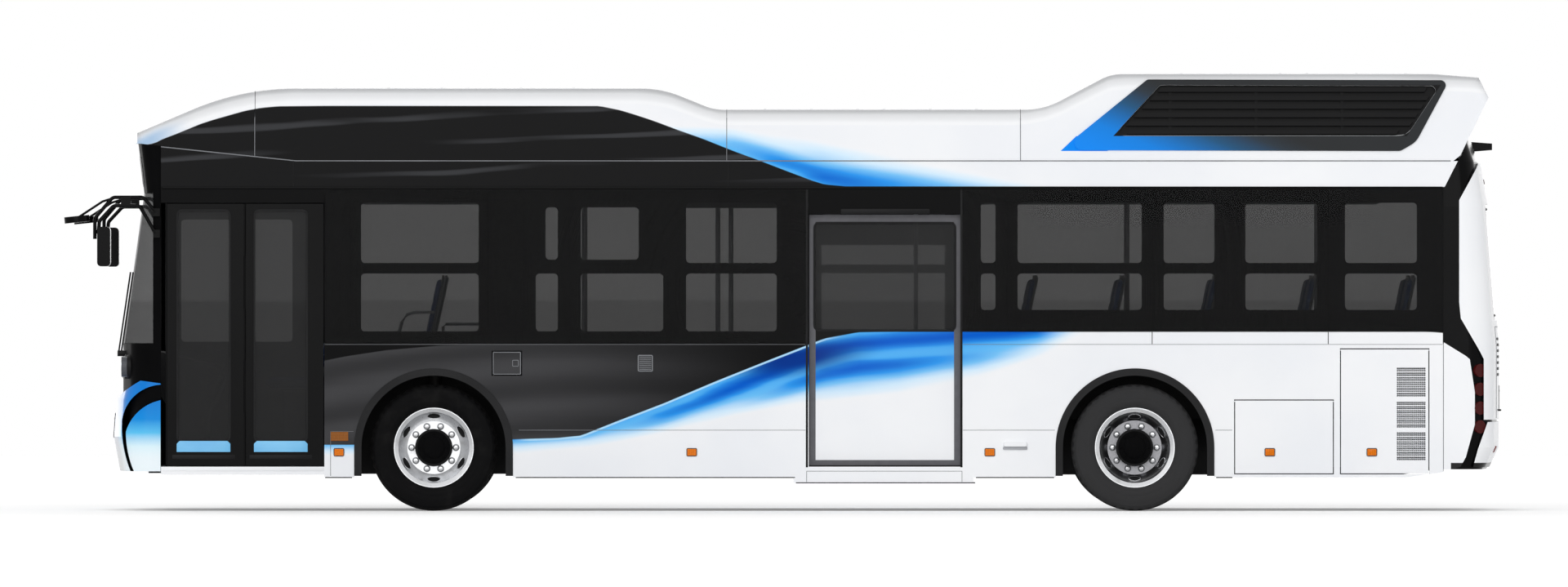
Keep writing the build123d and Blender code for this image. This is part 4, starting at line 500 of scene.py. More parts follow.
class Stock:
    """A mesh being built. Points are in metres in the CAD frame."""

    def __init__(self):
        self.mesh = bmesh.new()

    def loop(self, points):
        return [self.mesh.verts.new(point) for point in points]

    def bridge(self, first, second, closed=True):
        count = len(first) if closed else len(first) - 1
        for index in range(count):
            after = (index + 1) % len(first)
            self.mesh.faces.new((first[index], first[after], second[after], second[index]))

    def loft(self, loops, capped=True):
        """A skin through closed loops of the same count."""
        made = [self.loop(points) for points in loops]
        for first, second in zip(made, made[1:]):
            self.bridge(first, second)
        if capped:
            self.mesh.faces.new(list(reversed(made[0])))
            self.mesh.faces.new(made[-1])

    def plate(self, outline, base, lift, along="Y", edge=0.0):
        """An outline of (u, v) raised from base by lift along an axis, its rim drawn in by edge at the outer face."""
        def place(u, v, depth):
            return {"Y": (u, depth, v), "X": (depth, u, v), "Z": (u, v, depth)}[along]
        middle_u = sum(u for u, _ in outline) / len(outline)
        middle_v = sum(v for _, v in outline) / len(outline)

        def ring(draw, depth):
            points = []
            for u, v in outline:
                far_u, far_v = u - middle_u, v - middle_v
                span = max(math.hypot(far_u, far_v), 1e-6)
                points.append(place(u - far_u / span * draw, v - far_v / span * draw, depth))
            return points
        rings = [ring(0.0, base), ring(0.0, base + lift * 0.6), ring(edge, base + lift)]
        self.loft(rings)

    def turned(self, profile, centre, axis="Y", steps=32, closed=True, shape=None):
        """A ring turned about an axis from (offset along it, radius) points, closed where the profile comes back to
        its start. shape may change a radius by step."""
        rings = []
        for step in range(steps):
            angle = math.tau * step / steps
            points = []
            for offset, radius in profile:
                if shape:
                    radius = shape(step, offset, radius)
                u, v = radius * math.cos(angle), radius * math.sin(angle)
                spot = {"Y": (u, offset, v), "X": (offset, u, v), "Z": (u, v, offset)}[axis]
                points.append(Vector(centre) + Vector(spot))
            rings.append(self.loop(points))
        for first, second in zip(rings, rings[1:] + rings[:1]):
            self.bridge(first, second, closed)

    def tube(self, path, radius, sides=8):
        """A round bar along a path."""
        loops = []
        points = [Vector(point) for point in path]
        for index, point in enumerate(points):
            ahead = points[min(index + 1, len(points) - 1)] - points[max(index - 1, 0)]
            ahead.normalize()
            side = ahead.cross(Vector((0.0, 0.0, 1.0)) if abs(ahead.z) < 0.9 else Vector((1.0, 0.0, 0.0))).normalized()
            up = side.cross(ahead)
            loops.append([point + (side * math.cos(math.tau * n / sides) + up * math.sin(math.tau * n / sides)) * radius
                          for n in range(sides)])
        self.loft(loops)

    def box(self, low, high, round_off=0.003):
        """A bar between two corners with its long edges drawn in."""
        (x0, y0, z0), (x1, y1, z1) = low, high
        r = min(round_off, abs(x1 - x0) / 3, abs(y1 - y0) / 3, abs(z1 - z0) / 3)

        def ring(y, inset):
            a, b, c, d = x0 + inset, x1 - inset, z0 + inset, z1 - inset
            return [(a + r, y, c), (b - r, y, c), (b, y, c + r), (b, y, d - r), (b - r, y, d), (a + r, y, d),
                    (a, y, d - r), (a, y, c + r)]
        step = math.copysign(r, y1 - y0)
        self.loft([ring(y0, r), ring(y0 + step, 0.0), ring(y1 - step, 0.0), ring(y1, r)])

    def frame_bar(self, low, high, wide, base, lift, corner=0.03):
        """A raised frame round a box (x0, z0), (x1, z1) of the side view, wide to the outside."""
        (x0, z0), (x1, z1) = low, high
        rings = []
        for grow, depth in ((0.0, base), (0.0, base + lift), (wide, base + lift), (wide, base)):
            rings.append(self.loop([(x, depth, z) for x, z in rounded(x0 - grow, z0 - grow, x1 + grow, z1 + grow,
                                                                      corner + grow)]))
        for first, second in zip(rings, rings[1:] + rings[:1]):
            self.bridge(first, second)


def rounded(x0, z0, x1, z1, radius, steps=5):
    """A round-cornered rectangle as (u, v) points."""
    points = []
    for corner_x, corner_z, start in ((x1 - radius, z0 + radius, -90), (x1 - radius, z1 - radius, 0),
                                      (x0 + radius, z1 - radius, 90), (x0 + radius, z0 + radius, 180)):
        for step in range(steps + 1):
            angle = math.radians(start + 90.0 * step / steps)
            points.append((corner_x + radius * math.cos(angle), corner_z + radius * math.sin(angle)))
    return points


def piece(name, stock, finish, body, smooth=40.0, bevel=0.0):
    """Turns stock into a shown piece that rides a body."""
    bmesh.ops.recalc_face_normals(stock.mesh, faces=stock.mesh.faces)
    data = bpy.data.meshes.new(name)
    stock.mesh.to_mesh(data)
    stock.mesh.free()
    data.materials.append(finish)
    made = bpy.data.objects.new(name, data)
    bpy.context.scene.collection.objects.link(made)
    data.shade_smooth()
    data.set_sharp_from_angle(angle=math.radians(smooth))
    if bevel:
        cut = made.modifiers.new("edge_rounding", "BEVEL")
        cut.width = bevel
        cut.segments = 2
        cut.limit_method = "ANGLE"
    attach(made, body)
    return made


# Tyres: five ribs, slotted shoulders and ringed sidewalls in the CAD tyre's outline
TREAD_PITCHES = 44
STEPS_IN_PITCH = 4
RIB_EDGE = 0.0758
SHOULDER_R = 0.4685
SLOT_DEPTH = 0.009
TYRE_HALF = [(0.020, TYRE_R), (0.0202, 0.467), (0.0298, 0.467), (0.030, TYRE_R), (0.066, 0.4780), (0.0662, 0.466),
             (0.0758, 0.466), (0.076, 0.4778), (0.108, 0.4755), (0.118, 0.4690), (0.1245, 0.455), (0.1285, 0.4450),
             (0.1315, 0.4440), (0.1330, 0.4300), (0.1372, 0.4120), (0.1375, 0.3950), (0.1368, 0.3780),
             (0.1335, 0.3640), (0.1345, 0.3600), (0.1310, 0.3420), (0.1240, 0.3250), (0.1200, 0.3190),
             (0.1130, 0.3080), (0.1020, 0.2990), (0.0960, 0.2870)]


def tyre(name, centre_x, centre_y, finish, body, node):
    """A treaded tyre that stands in for a node. centre_y is a list: one tyre, or the two of a twin wheel."""
    stock = Stock()
    profile = [(-offset, radius) for offset, radius in reversed(TYRE_HALF)] + TYRE_HALF

    def slots(step, offset, radius):
        on_shoulder = radius >= SHOULDER_R and abs(offset) >= RIB_EDGE
        return radius - SLOT_DEPTH if on_shoulder and step % STEPS_IN_PITCH >= 2 else radius
    for y in centre_y:
        stock.turned(profile, (centre_x, y, TYRE_R), steps=TREAD_PITCHES * STEPS_IN_PITCH, shape=slots)
    made = piece(name, stock, finish, body, smooth=35.0)
    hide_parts(node)
    return made


# Turned fastenings and caps of the wheels: (offset outward, radius)
NUT_CIRCLE = 0.1675
NUT_WASHER = [(-0.002, 0.0), (-0.002, 0.0265), (0.003, 0.0265), (0.0045, 0.0245), (0.0045, 0.0)]
WHEEL_NUT = [(0.003, 0.0), (0.003, 0.0200), (0.022, 0.0200), (0.026, 0.0165), (0.028, 0.006), (0.0285, 0.0)]
HUB_CAP = [(-0.004, 0.0), (-0.004, 0.128), (0.003, 0.122), (0.004, 0.086), (0.010, 0.080), (0.014, 0.060), (0.016, 0.0)]
HUB_CIRCLE = 0.104
HUB_BOLT = [(0.0, 0.0), (0.0, 0.009), (0.008, 0.009), (0.010, 0.006), (0.0105, 0.0)]


def facing(profile, outward):
    """A turned profile that looks outward, 1 or -1, along its axis."""
    return [(offset * outward, radius) for offset, radius in profile]


def round_axle(axle, face_y, radius, count):
    """Points spaced evenly round an axle on a wheel face."""
    for index in range(count):
        angle = math.tau * index / count
        yield (at(axle) + radius * math.cos(angle), face_y, TYRE_R + radius * math.sin(angle))


for side, tag in HANDS:
    tyre("tread_front_" + tag, at(FRONT_AXLE), [FRONT_WHEEL_Y * side], TYRE_FRONT, f"front_{tag}_wheel",
         f"tyre_front_{tag}")
    tyre("tread_rear_" + tag, at(REAR_AXLE), [REAR_WHEEL_Y * side, REAR_INNER_Y * side], TYRE_REAR,
         f"rear_{tag}_wheel", f"tyre_rear_{tag}")
    for end, axle, face_y in (("front", FRONT_AXLE, FRONT_WHEEL_Y + 0.078), ("rear", REAR_AXLE, REAR_WHEEL_Y - 0.060)):
        # Washers under the nuts, in a darker grey that also stands as the painted shadow round each nut
        wheel_nuts, shade_washers = Stock(), Stock()
        for spot in round_axle(axle, face_y * side, NUT_CIRCLE, 10):
            shade_washers.turned(facing(NUT_WASHER, side), spot, steps=20, closed=False)
            wheel_nuts.turned(facing(WHEEL_NUT, side), spot, steps=6, closed=False)
        piece(f"nuts_{end}_{tag}", wheel_nuts, STEEL, f"{end}_{tag}_wheel")
        piece(f"nut_shade_rings_{end}_{tag}", shade_washers, UNIT_GREY, f"{end}_{tag}_wheel")


# Body sides: gutter and joint lines

def strip(stock, sign, x0, z0, x1, z1, base=SKIN_Y - 0.002, lift=0.0034):
    """A flat strip on the side wall where y has that sign."""
    stock.box((x0, sign * base, z0), (x1, sign * (base + lift), z1), 0.0012)


def fairing_y(z):
    """Half width of the roof fairing at a height. It draws in over its rise."""
    foot_y, foot_z, draw_in, rise = 1.222, 2.645, 0.074, 0.660
    return foot_y - draw_in * (z - foot_z) / rise


gutter = Stock()
for sign in SIDES:
    gutter.box((at(390), sign * 1.236, 2.431), (at(10070), sign * 1.2465, 2.452), 0.004)
piece("eaves_gutter", gutter, GLOSS_BLACK, "body")

FAIRING_FOOT = [(385, 1.2190, 2.753), (900, 1.2225, 2.699), (1405, 1.2245, 2.6465), (4000, 1.2245, 2.6460),
                (10130, 1.2245, 2.6460)]
fairing_joint = Stock()
for sign in SIDES:
    fairing_joint.tube([(at(station), sign * y, z) for station, y, z in FAIRING_FOOT], 0.0042)
piece("fairing_joint", fairing_joint, JOINT_GREY, "body")

# Runs of (x from, x to). On the kerb side the doors break them.
SKIRT_RUNS = {-1.0: [(-2.00, 0.165), (1.356, 2.05), (3.262, 3.39)], 1.0: [(-2.00, 2.05), (3.262, 3.39)]}
WAIST_RUNS = {-1.0: [(-3.465, 0.165), (1.356, 4.98)], 1.0: [(at(440), 4.98)]}
DOOR_EDGE = (0.176, 1.344)
joints = Stock()
for sign in SIDES:
    for x0, x1 in SKIRT_RUNS[sign]:
        strip(joints, sign, x0, 0.609, x1, 0.613)
    strip(joints, sign, at(10073), 0.300, at(10077), 1.258)
    for x0, x1 in WAIST_RUNS[sign]:
        strip(joints, sign, x0, 1.2570, x1, 1.2608)
for x0, z0, x1, z1 in ((0.172, 0.299, 1.350, 0.303), (0.172, 0.219, 0.176, 0.299), (1.346, 0.219, 1.350, 0.299),
                       (-3.425, 0.265, -3.421, 0.603), (-3.421, 0.599, -3.250, 0.603)):
    strip(joints, -1.0, x0, z0, x1, z1)
piece("panel_joints", joints, JOINT_GREY, "body")

band_joints = Stock()
for sign in SIDES:
    for station in (7875, 9205, 10074):
        strip(band_joints, sign, at(station) - 0.003, 1.262, at(station) + 0.003, 1.356)
    for x in (-3.705, -0.418):
        band_joints.tube([(x, sign * 1.2404, 2.455), (x, sign * 1.2262, 2.640)], 0.0030, 6)
for x in DOOR_EDGE:
    strip(band_joints, -1.0, x - 0.008, 0.330, x + 0.008, 2.430, SKIN_Y - 0.004, 0.0065)
piece("band_joints", band_joints, RUBBER, "body")

# Doors: bars, sill, glass seals, kick plates and rails
door_bars = Stock()
door_bars.box((0.432, -1.236, 2.243), (1.104, -1.256, 2.284), 0.006)
door_bars.box((0.205, -1.190, 0.322), (1.315, -1.232, 0.341), 0.005)
piece("centre_door_bars", door_bars, SATIN_BLACK, "body")
sill = Stock()
sill.box((at(395), -1.228, 0.300), (at(1618), -1.2445, 0.333), 0.004)
piece("front_door_sill", sill, WHITE_COAT, "body")

centre_seal = Stock()
centre_seal.frame_bar((at(5330), 1.373), (at(6380), 2.170), 0.016, -1.1815, -0.0035)
piece("centre_door_seal", centre_seal, RUBBER, "sliding_door")
for tag, start, end in (("front", 510.0, 903.5), ("rear", 1093.5, 1487.0)):
    body = f"door_{tag}_leaf"
    seal = Stock()
    seal.frame_bar((at(start) + 0.004, 0.534), (at(end) - 0.004, 2.268), 0.012, -1.2295, -0.0030)
    piece(f"door_seal_{tag}", seal, RUBBER, body)
    x0, x1 = at(start) - 0.006, at(end) + 0.006
    kick = Stock()
    kick.plate([(x0, 0.446), (x1, 0.446), (x1, 0.508), (x1 - 0.022, 0.530), (x0 + 0.022, 0.530), (x0, 0.508)],
               -1.2290, -0.0040, "Y", 0.003)
    piece(f"door_kick_{tag}", kick, KICK_BLUE, body)
    rail = Stock()
    rail.box((at(start) - 0.040, -1.2285, 0.392), (at(end) + 0.040, -1.2325, 0.424), 0.002)
    piece(f"door_rail_{tag}", rail, SATIN_BLACK, body)

# Runs of (x from, x to, height) along the foot of the skirt
MIDDLE_RUNS = {-1.0: [(-2.025, 0.088, 0.255), (0.092, 1.448, 0.215), (1.452, 2.045, 0.255)],
               1.0: [(-2.025, 2.045, 0.255)]}
END_RUNS = [(-3.465, -3.260, 0.255), (3.268, 3.392, 0.255)]
skirt_edge = Stock()
for sign in SIDES:
    for x0, x1, z in MIDDLE_RUNS[sign] + END_RUNS:
        skirt_edge.box((x0, sign * 1.215, z - 0.006), (x1, sign * 1.2412, z + 0.003), 0.002)
piece("skirt_edge", skirt_edge, RUBBER, "body")

# Small fittings: lid lines, grille, pull handle, marker lamps, vent mesh, a light grey louvre lip as a painted
# highlight, and hub caps
lid_line = Stock()
lid_line.frame_bar((at(2892) + 0.007, 1.037), (at(3106) - 0.007, 1.197), 0.005, -1.2392, -0.0020, 0.003)
lid_line.frame_bar((-2.046, 1.096), (-2.006, 1.138), 0.004, -1.2392, -0.0024, 0.003)
piece("filler_lid_line", lid_line, JOINT_GREY, "filler_flap")

grille = Stock()
grille.frame_bar((-1.094, 1.062), (-0.996, 1.172), 0.008, -1.2390, -0.0040, 0.003)
for slat in range(7):
    rise = slat * 0.0152
    grille.box((-1.090, -1.2385, 1.068 + rise), (-1.000, -1.2425, 1.075 + rise), 0.002)
piece("side_grille", grille, JOINT_GREY, "body")

handle = Stock()
handle.plate(rounded(1.657, 0.486, 1.842, 0.524, 0.014), -1.2390, -0.024, "Y", 0.008)
piece("pull_handle", handle, WHITE_COAT, "body")
lip = Stock()
lip.plate(rounded(1.657, 0.463, 1.842, 0.4855, 0.009), -1.2390, -0.009, "Y", 0.004)
piece("pull_handle_lip", lip, HANDLE_GREY, "body")

FLAP_MARKERS = (("battery", 3.674), ("vent", 4.445))
BODY_MARKERS = (-3.360, -0.694, 1.558)


def marker_bezel(stock, x, sign):
    """The frame round a marker lamp on a side wall."""
    stock.frame_bar((x - 0.035, 0.418), (x + 0.035, 0.470), 0.005, sign * 1.2385, sign * 0.0050, 0.006)


for flap, x in FLAP_MARKERS:
    marker = Stock()
    marker.plate(rounded(x - 0.034, 0.419, x + 0.034, 0.469, 0.006), -1.2385, -0.0062, "Y", 0.004)
    marker.box((x - 0.003, -1.2440, 0.423), (x + 0.003, -1.2452, 0.465), 0.0005)
    piece(f"{flap}_marker", marker, AMBER_LENS, f"{flap}_flap")
for flap, x in FLAP_MARKERS:
    flap_bezel = Stock()
    marker_bezel(flap_bezel, x, -1.0)
    piece(f"{flap}_flap_marker_bezel", flap_bezel, SATIN_BLACK, f"{flap}_flap")
marker_bezels = Stock()
for x in BODY_MARKERS:
    for sign in SIDES:
        marker_bezel(marker_bezels, x, sign)
piece("marker_bezels", marker_bezels, SATIN_BLACK, "body")

VENT_FIELDS = ((0.866, 1.090), (0.631, 0.833), (0.385, 0.603))
VENT_ROWS, VENT_COLUMNS = 13, 14
vent_mesh = Stock()
for low_z, high_z in VENT_FIELDS:
    pitch = (high_z - low_z) / VENT_ROWS
    for row in range(VENT_ROWS):
        for column in range(VENT_COLUMNS):
            x, z = 4.634 + column * 0.0157, low_z + row * pitch
            vent_mesh.box((x, -1.2395, z), (x + 0.0115, -1.2408, z + pitch * 0.5), 0.0004)
piece("vent_mesh", vent_mesh, SATIN_BLACK, "vent_flap")

LOUVRE_EDGE = [(10040, 3.190), (9835, 2.880), (9790, 2.842), (9700, 2.833), (7640, 2.833)]
# Painted highlight: a round lip along the louvre opening's edge, light grey where its bevel catches the light
louvre_lip_highlight = Stock()
for sign in SIDES:
    louvre_lip_highlight.tube([(at(station), sign * (fairing_y(z) + 0.0005), z) for station, z in LOUVRE_EDGE], 0.006)
piece("louvre_lip_highlight", louvre_lip_highlight, UNIT_GREY, "body")

for side, tag in HANDS:
    for axle, face_y, wheel in ((FRONT_AXLE, (FRONT_WHEEL_Y + 0.104) * side, f"front_{tag}_wheel"),
                                (REAR_AXLE, (REAR_WHEEL_Y + 0.045) * side, f"rear_{tag}_wheel")):
        hub = Stock()
        hub.turned(facing(HUB_CAP, side), (at(axle), face_y, TYRE_R), steps=40, closed=False)
        for spot in round_axle(axle, face_y, HUB_CIRCLE, 8):
            hub.turned(facing(HUB_BOLT, side), spot, steps=6, closed=False)
        piece(f"hub_cap_{wheel}", hub, DEEP_BLACK, wheel)


# Surfaces of the solids, for fittings that sit on a curved face

class Face:
    """Where a ray meets some of the CAD nodes."""

    def __init__(self, *names):
        points, faces = [], []
        for name in names:
            data = nodes[name].data
            first = len(points)
            points.extend(vertex.co.copy() for vertex in data.vertices)
            faces.extend([first + index for index in polygon.vertices] for polygon in data.polygons)
        self.tree = BVHTree.FromPolygons(points, faces)

    def x(self, y, z, heading):
        """Where a ray along x meets the face at that y and z: heading 1 comes from the front, -1 from the rear."""
        spot = self.tree.ray_cast(Vector((-9.0 * heading, y, z)), Vector((heading, 0.0, 0.0)))[0]
        return spot.x if spot else None

    def z(self, x, y):
        """Height of the face under a point."""
        spot = self.tree.ray_cast(Vector((x, y, 6.0)), Vector((0.0, 0.0, -1.0)))[0]
        return spot.z if spot else None


def along(points, closed, reach=0.05):
    """The same outline with points no further apart than reach, so that a long edge follows a curved face."""
    ends = points[1:] + points[:1] if closed else points[1:]
    path = []
    for (y, z), (next_y, next_z) in zip(points, ends):
        steps = max(1, math.ceil(math.hypot(next_y - y, next_z - z) / reach))
        path += [(y + (next_y - y) * step / steps, z + (next_z - z) * step / steps) for step in range(steps)]
    return path if closed else path + points[-1:]


def draped(stock, outline, face, heading, lift, sink=0.004):
    """A plate that follows a front or rear face: outline is (y, z) points, lift its thickness off the face."""
    outline = along(outline, True)
    middle_y = sum(y for y, _ in outline) / len(outline)
    middle_z = sum(z for _, z in outline) / len(outline)
    rows = []
    for share, depth in ((1.0, -sink), (1.0, lift * 0.7), (0.985, lift), (0.66, lift), (0.33, lift)):
        row = []
        for y, z in outline:
            py, pz = middle_y + (y - middle_y) * share, middle_z + (z - middle_z) * share
            row.append((face.x(py, pz, heading) - heading * depth, py, pz))
        rows.append(stock.loop(row))
    for first, second in zip(rows, rows[1:]):
        stock.bridge(first, second)
    centre = stock.mesh.verts.new((face.x(middle_y, middle_z, heading) - heading * lift, middle_y, middle_z))
    last = rows[-1]
    for index, vertex in enumerate(last):
        stock.mesh.faces.new((vertex, last[(index + 1) % len(last)], centre))


def draped_cord(stock, points, face, heading, radius, closed=False):
    """A thin round bead laid on a front or rear face along (y, z) points."""
    points = along(points, closed)
    if closed:
        points = points + points[:1]
    stock.tube([(face.x(y, z, heading), y, z) for y, z in points], radius, 6)


def ring_bead(stock, y, z, radius, face, heading, thick):
    """A round bezel standing on a front or rear face."""
    bead = [(0.020, radius - thick), (-0.010, radius - thick), (-0.016, radius - thick * 0.4), (-0.014, radius),
            (0.030, radius + 0.002)]
    stock.turned(facing(bead, heading), (face.x(y, z, heading), y, z), "X", 36)


# Front and rear: blank plates and sign, lamp fittings, mask slats, rear bay and rear window
front_face = Face("front_mask", "front_bumper", "front_header", "windscreen")
mask_face = Face("front_mask")
lamp_face = Face("front_lamps")
rear_face = Face("rear_panels", "rear_shell", "rear_window")

plates = Stock()
draped(plates, rounded(-0.165, 0.560, 0.165, 0.725, 0.012), front_face, 1.0, 0.006)
draped(plates, rounded(-0.165, 0.770, 0.165, 0.935, 0.012), rear_face, -1.0, 0.006)
piece("blank_plates", plates, BLANK, "body")
plate_frames = Stock()
draped_cord(plate_frames, rounded(-0.172, 0.553, 0.172, 0.732, 0.016), front_face, 1.0, 0.006, True)
draped_cord(plate_frames, rounded(-0.172, 0.763, 0.172, 0.942, 0.016), rear_face, -1.0, 0.006, True)
piece("plate_frames", plate_frames, SATIN_BLACK, "body")
PLATE_SCREW = [(0.0, 0.0), (0.0, 0.011), (-0.004, 0.009), (-0.0055, 0.0)]
screws = Stock()
for heading, face, z in ((1.0, front_face, 0.695), (-1.0, rear_face, 0.905)):
    for y in (-0.105, 0.105):
        x = face.x(y, z, heading) - heading * 0.005
        screws.turned(facing(PLATE_SCREW, heading), (x, y, z), "X", 12, closed=False)
piece("plate_screws", screws, STEEL, "body")

front_sign = Stock()
draped(front_sign, rounded(-0.90, 2.470, 0.90, 2.670, 0.03), front_face, 1.0, 0.004)
piece("front_sign", front_sign, SIGN_DARK, "body")
sign_frame = Stock()
draped_cord(sign_frame, rounded(-0.91, 2.460, 0.91, 2.680, 0.035, 3), front_face, 1.0, 0.004, True)
piece("front_sign_frame", sign_frame, SATIN_BLACK, "body")

HEADLAMP_Z = 1.090
PROJECTOR = [(-0.004, 0.0), (-0.0035, 0.030), (0.000, 0.042), (0.004, 0.044)]
bezels, bulbs = Stock(), Stock()
for y in (-0.975, -0.800, 0.800, 0.975):
    ring_bead(bezels, y, HEADLAMP_Z, 0.092, mask_face, 1.0, 0.012)
    bulbs.turned(PROJECTOR, (lamp_face.x(y, HEADLAMP_Z, 1.0), y, HEADLAMP_Z), "X", 28, closed=False)
piece("headlamp_bezels", bezels, SATIN_BLACK, "body")
piece("headlamp_projectors", bulbs, MIRROR, "body")

mask_lines = Stock()
for z in (1.005, 1.028, 1.051):
    draped_cord(mask_lines, [(y / 10.0, z) for y in range(-6, 7)], mask_face, 1.0, 0.006)
piece("mask_louvres", mask_lines, SATIN_BLACK, "body")

rear_lines = Stock()
draped_cord(rear_lines, [(y / 8.0, 1.392) for y in range(-7, 8)], rear_face, -1.0, 0.0035)
for y in (-0.875, 0.875):
    draped_cord(rear_lines, [(y, 0.700 + step * 0.0692) for step in range(11)], rear_face, -1.0, 0.0035)
piece("rear_bay_joints", rear_lines, JOINT_GREY, "body")
rear_slots = Stock()
for row in range(7):
    z = 1.020 + row * 0.045
    for y0, y1 in ((-0.78, -0.42), (0.42, 0.78)):
        draped(rear_slots, rounded(y0, z, y1, z + 0.020, 0.008, 2), rear_face, -1.0, 0.003)
piece("rear_bay_slots", rear_slots, SATIN_BLACK, "body")
half_seal = [(0.0, 1.477), (0.40, 1.477), (0.795, 1.477), (0.842, 1.489), (0.872, 1.520), (0.883, 1.563), (0.883, 1.85),
             (0.883, 2.110), (0.874, 2.140), (0.770, 2.262), (0.742, 2.281), (0.40, 2.283), (0.0, 2.283)]
window_edge = half_seal + [(-y, z) for y, z in reversed(half_seal[1:-1])]
rear_seal = Stock()
draped_cord(rear_seal, window_edge, Face("rear_shell", "rear_window"), -1.0, 0.010, True)
piece("rear_window_seal", rear_seal, RUBBER, "body")
rear_red = Stock()
for y0, y1, z0, z1 in ((-0.17, 0.17, 2.475, 2.510), (-0.98, -0.86, 0.440, 0.490), (0.86, 0.98, 0.440, 0.490)):
    draped(rear_red, rounded(y0, z0, y1, z1, 0.010), rear_face, -1.0, 0.007)
piece("rear_reflectors", rear_red, RED_LENS, "body")
PULL_Z = 0.76
PULL = [(-0.010, -0.070), (0.012, -0.066), (0.016, -0.055), (0.016, 0.055), (0.012, 0.066), (-0.010, 0.070)]
rear_pulls = Stock()
for y in (-0.55, 0.55):
    x = rear_face.x(y, PULL_Z, -1.0)
    rear_pulls.tube([(x + out, y + across, PULL_Z) for out, across in PULL], 0.007)
piece("rear_bay_pulls", rear_pulls, SATIN_BLACK, "body")

# Roof: cross joints of the fairing, and bolted covers
roof_face = Face("fairing_front", "fairing_mid", "fairing_rear", "roof_cap")
roof_joints = Stock()
for station, start in ((1093, 2.680), (4660, 2.650), (6880, 2.650)):
    x = at(station)
    across = [(x, y / 20.0, roof_face.z(x + 0.010, y / 20.0)) for y in range(-22, 23)]
    edge = across[0][2]
    down = [(x, -fairing_y(z), z) for z in (start, 2.75, 2.85, 2.92, min(edge - 0.02, 2.97))]
    rise = [(x, -y, z) for x, y, z in reversed(down)]
    roof_joints.tube(down + [point for point in across if point[2]] + rise, 0.0030, 6)
piece("roof_joints", roof_joints, JOINT_GREY, "body")
COVER_BOLT = [(0.0, 0.0), (0.0, 0.013), (0.003, 0.011), (0.0042, 0.0)]
roof_covers, cover_bolts = Stock(), Stock()
for start, end in ((1650, 2550), (2650, 3550), (4900, 5700), (5800, 6600), (8050, 8900), (9000, 9850)):
    x0, x1 = at(start), at(end)
    top = roof_face.z((x0 + x1) / 2, 0.0)
    for y0, y1 in ((-0.92, -0.04), (0.04, 0.92)):
        roof_covers.plate(rounded(x0, y0, x1, y1, 0.05), top - 0.012, 0.016, "Z", 0.006)
        for bolt_x in (x0 + 0.05, (x0 + x1) / 2, x1 - 0.05):
            for bolt_y in (y0 + 0.05, y1 - 0.05):
                cover_bolts.turned(COVER_BOLT, (bolt_x, bolt_y, top + 0.0035), "Z", 8, closed=False)
piece("roof_covers", roof_covers, WHITE_COAT, "body")
piece("roof_cover_bolts", cover_bolts, STEEL, "body")

# Wheels: dark plates as painted shade in the hand holes, with rolled lips round each, and liners that close the rear
# wheel bays inboard

def front_dish(radius):
    """How far the front disc stands outboard of the wheel's middle at a radius."""
    return 0.078 - (radius - 0.200) * 0.715


def rear_dish(radius):
    """The same for the rear disc."""
    return -0.0555 + (radius - 0.210) * 0.775


def hole_shade_plates(shade_plates, lips, side, axle, wheel_y, dish, middle, wide_half, high_half):
    """Six long dark plates on a disc, painted shade that stands in for the hand holes' openings, each with a lip:
    middle is their radius, and the halves are half their size.
    """
    for hole in range(6):
        turn = math.radians(30.0 + 60.0 * hole)

        def ring(wide, high, lift):
            points = []
            for step in range(20):
                angle = math.tau * step / 20
                radius = middle + high * math.sin(angle)
                around = turn + wide * math.cos(angle) / middle
                points.append((at(axle) + radius * math.cos(around), side * (wheel_y + dish(radius) + lift),
                               TYRE_R + radius * math.sin(around)))
            return points
        # Painted shade: each slot is a dark plate on the disc's face, in place of the shadowed opening of a hand hole
        shade_plates.loft([ring(wide_half, high_half, -0.004), ring(wide_half, high_half, 0.0012),
                    ring(wide_half / 2, high_half / 2, 0.0014)])
        edge = ring(wide_half + 0.0015, high_half + 0.0015, 0.0008)
        lips.tube(edge + edge[:1], 0.0026, 6)


DISCS = {"front": (FRONT_AXLE, FRONT_WHEEL_Y, front_dish, 0.239, 0.047, 0.0180),
         "rear": (REAR_AXLE, REAR_WHEEL_Y, rear_dish, 0.235, 0.044, 0.0150)}
for side, tag in HANDS:
    for end, disc in DISCS.items():
        wheel = f"{end}_{tag}_wheel"
        shade_plates, lips = Stock(), Stock()
        hole_shade_plates(shade_plates, lips, side, *disc)
        piece(f"hole_shade_plates_{wheel}", shade_plates, RUBBER, wheel)
        piece(f"hand_hole_lips_{wheel}", lips, STEEL, wheel)
liners = Stock()
for sign in SIDES:
    for x0, z0, x1, z1 in ((-0.60, 0.270, -0.16, 0.694), (0.16, 0.270, 0.60, 0.694), (-0.16, 0.600, 0.16, 0.694)):
        liners.box((at(REAR_AXLE) + x0, sign * 0.548, z0), (at(REAR_AXLE) + x1, sign * 0.562, z1), 0.002)
piece("rear_bay_liners", liners, SATIN_BLACK, "body")

# Gaskets in the fold of the front door, and bars across the far side's windows
for tag, x0, x1 in (("front", at(1010.5) - 0.001, at(1017.6)), ("rear", at(1019.4), at(1026.5) + 0.001)):
    gasket = Stock()
    gasket.box((x0, -1.198, 0.350), (x1, -1.222, 2.318), 0.003)
    piece(f"fold_gasket_{tag}", gasket, RUBBER, f"door_{tag}_leaf")

RIGHT_PANES = [(1790, 2870), (3150, 4230), (4290, 5125), (5340, 6390), (6805, 7860), (8515, 9175), (9275, 9965)]
sliders = Stock()
for start, end in RIGHT_PANES:
    sliders.box((at(start), 1.239, 1.800), (at(end), 1.2435, 1.866), 0.002)
for x0, z0, x1, z1 in ((0.245, 1.340, 0.289, 2.360), (1.235, 1.340, 1.305, 2.360), (0.289, 2.015, 1.235, 2.360)):
    sliders.box((x0, 1.2392, z0), (x1, 1.2425, z1), 0.001)
piece("right_window_bars", sliders, GLOSS_BLACK, "body")


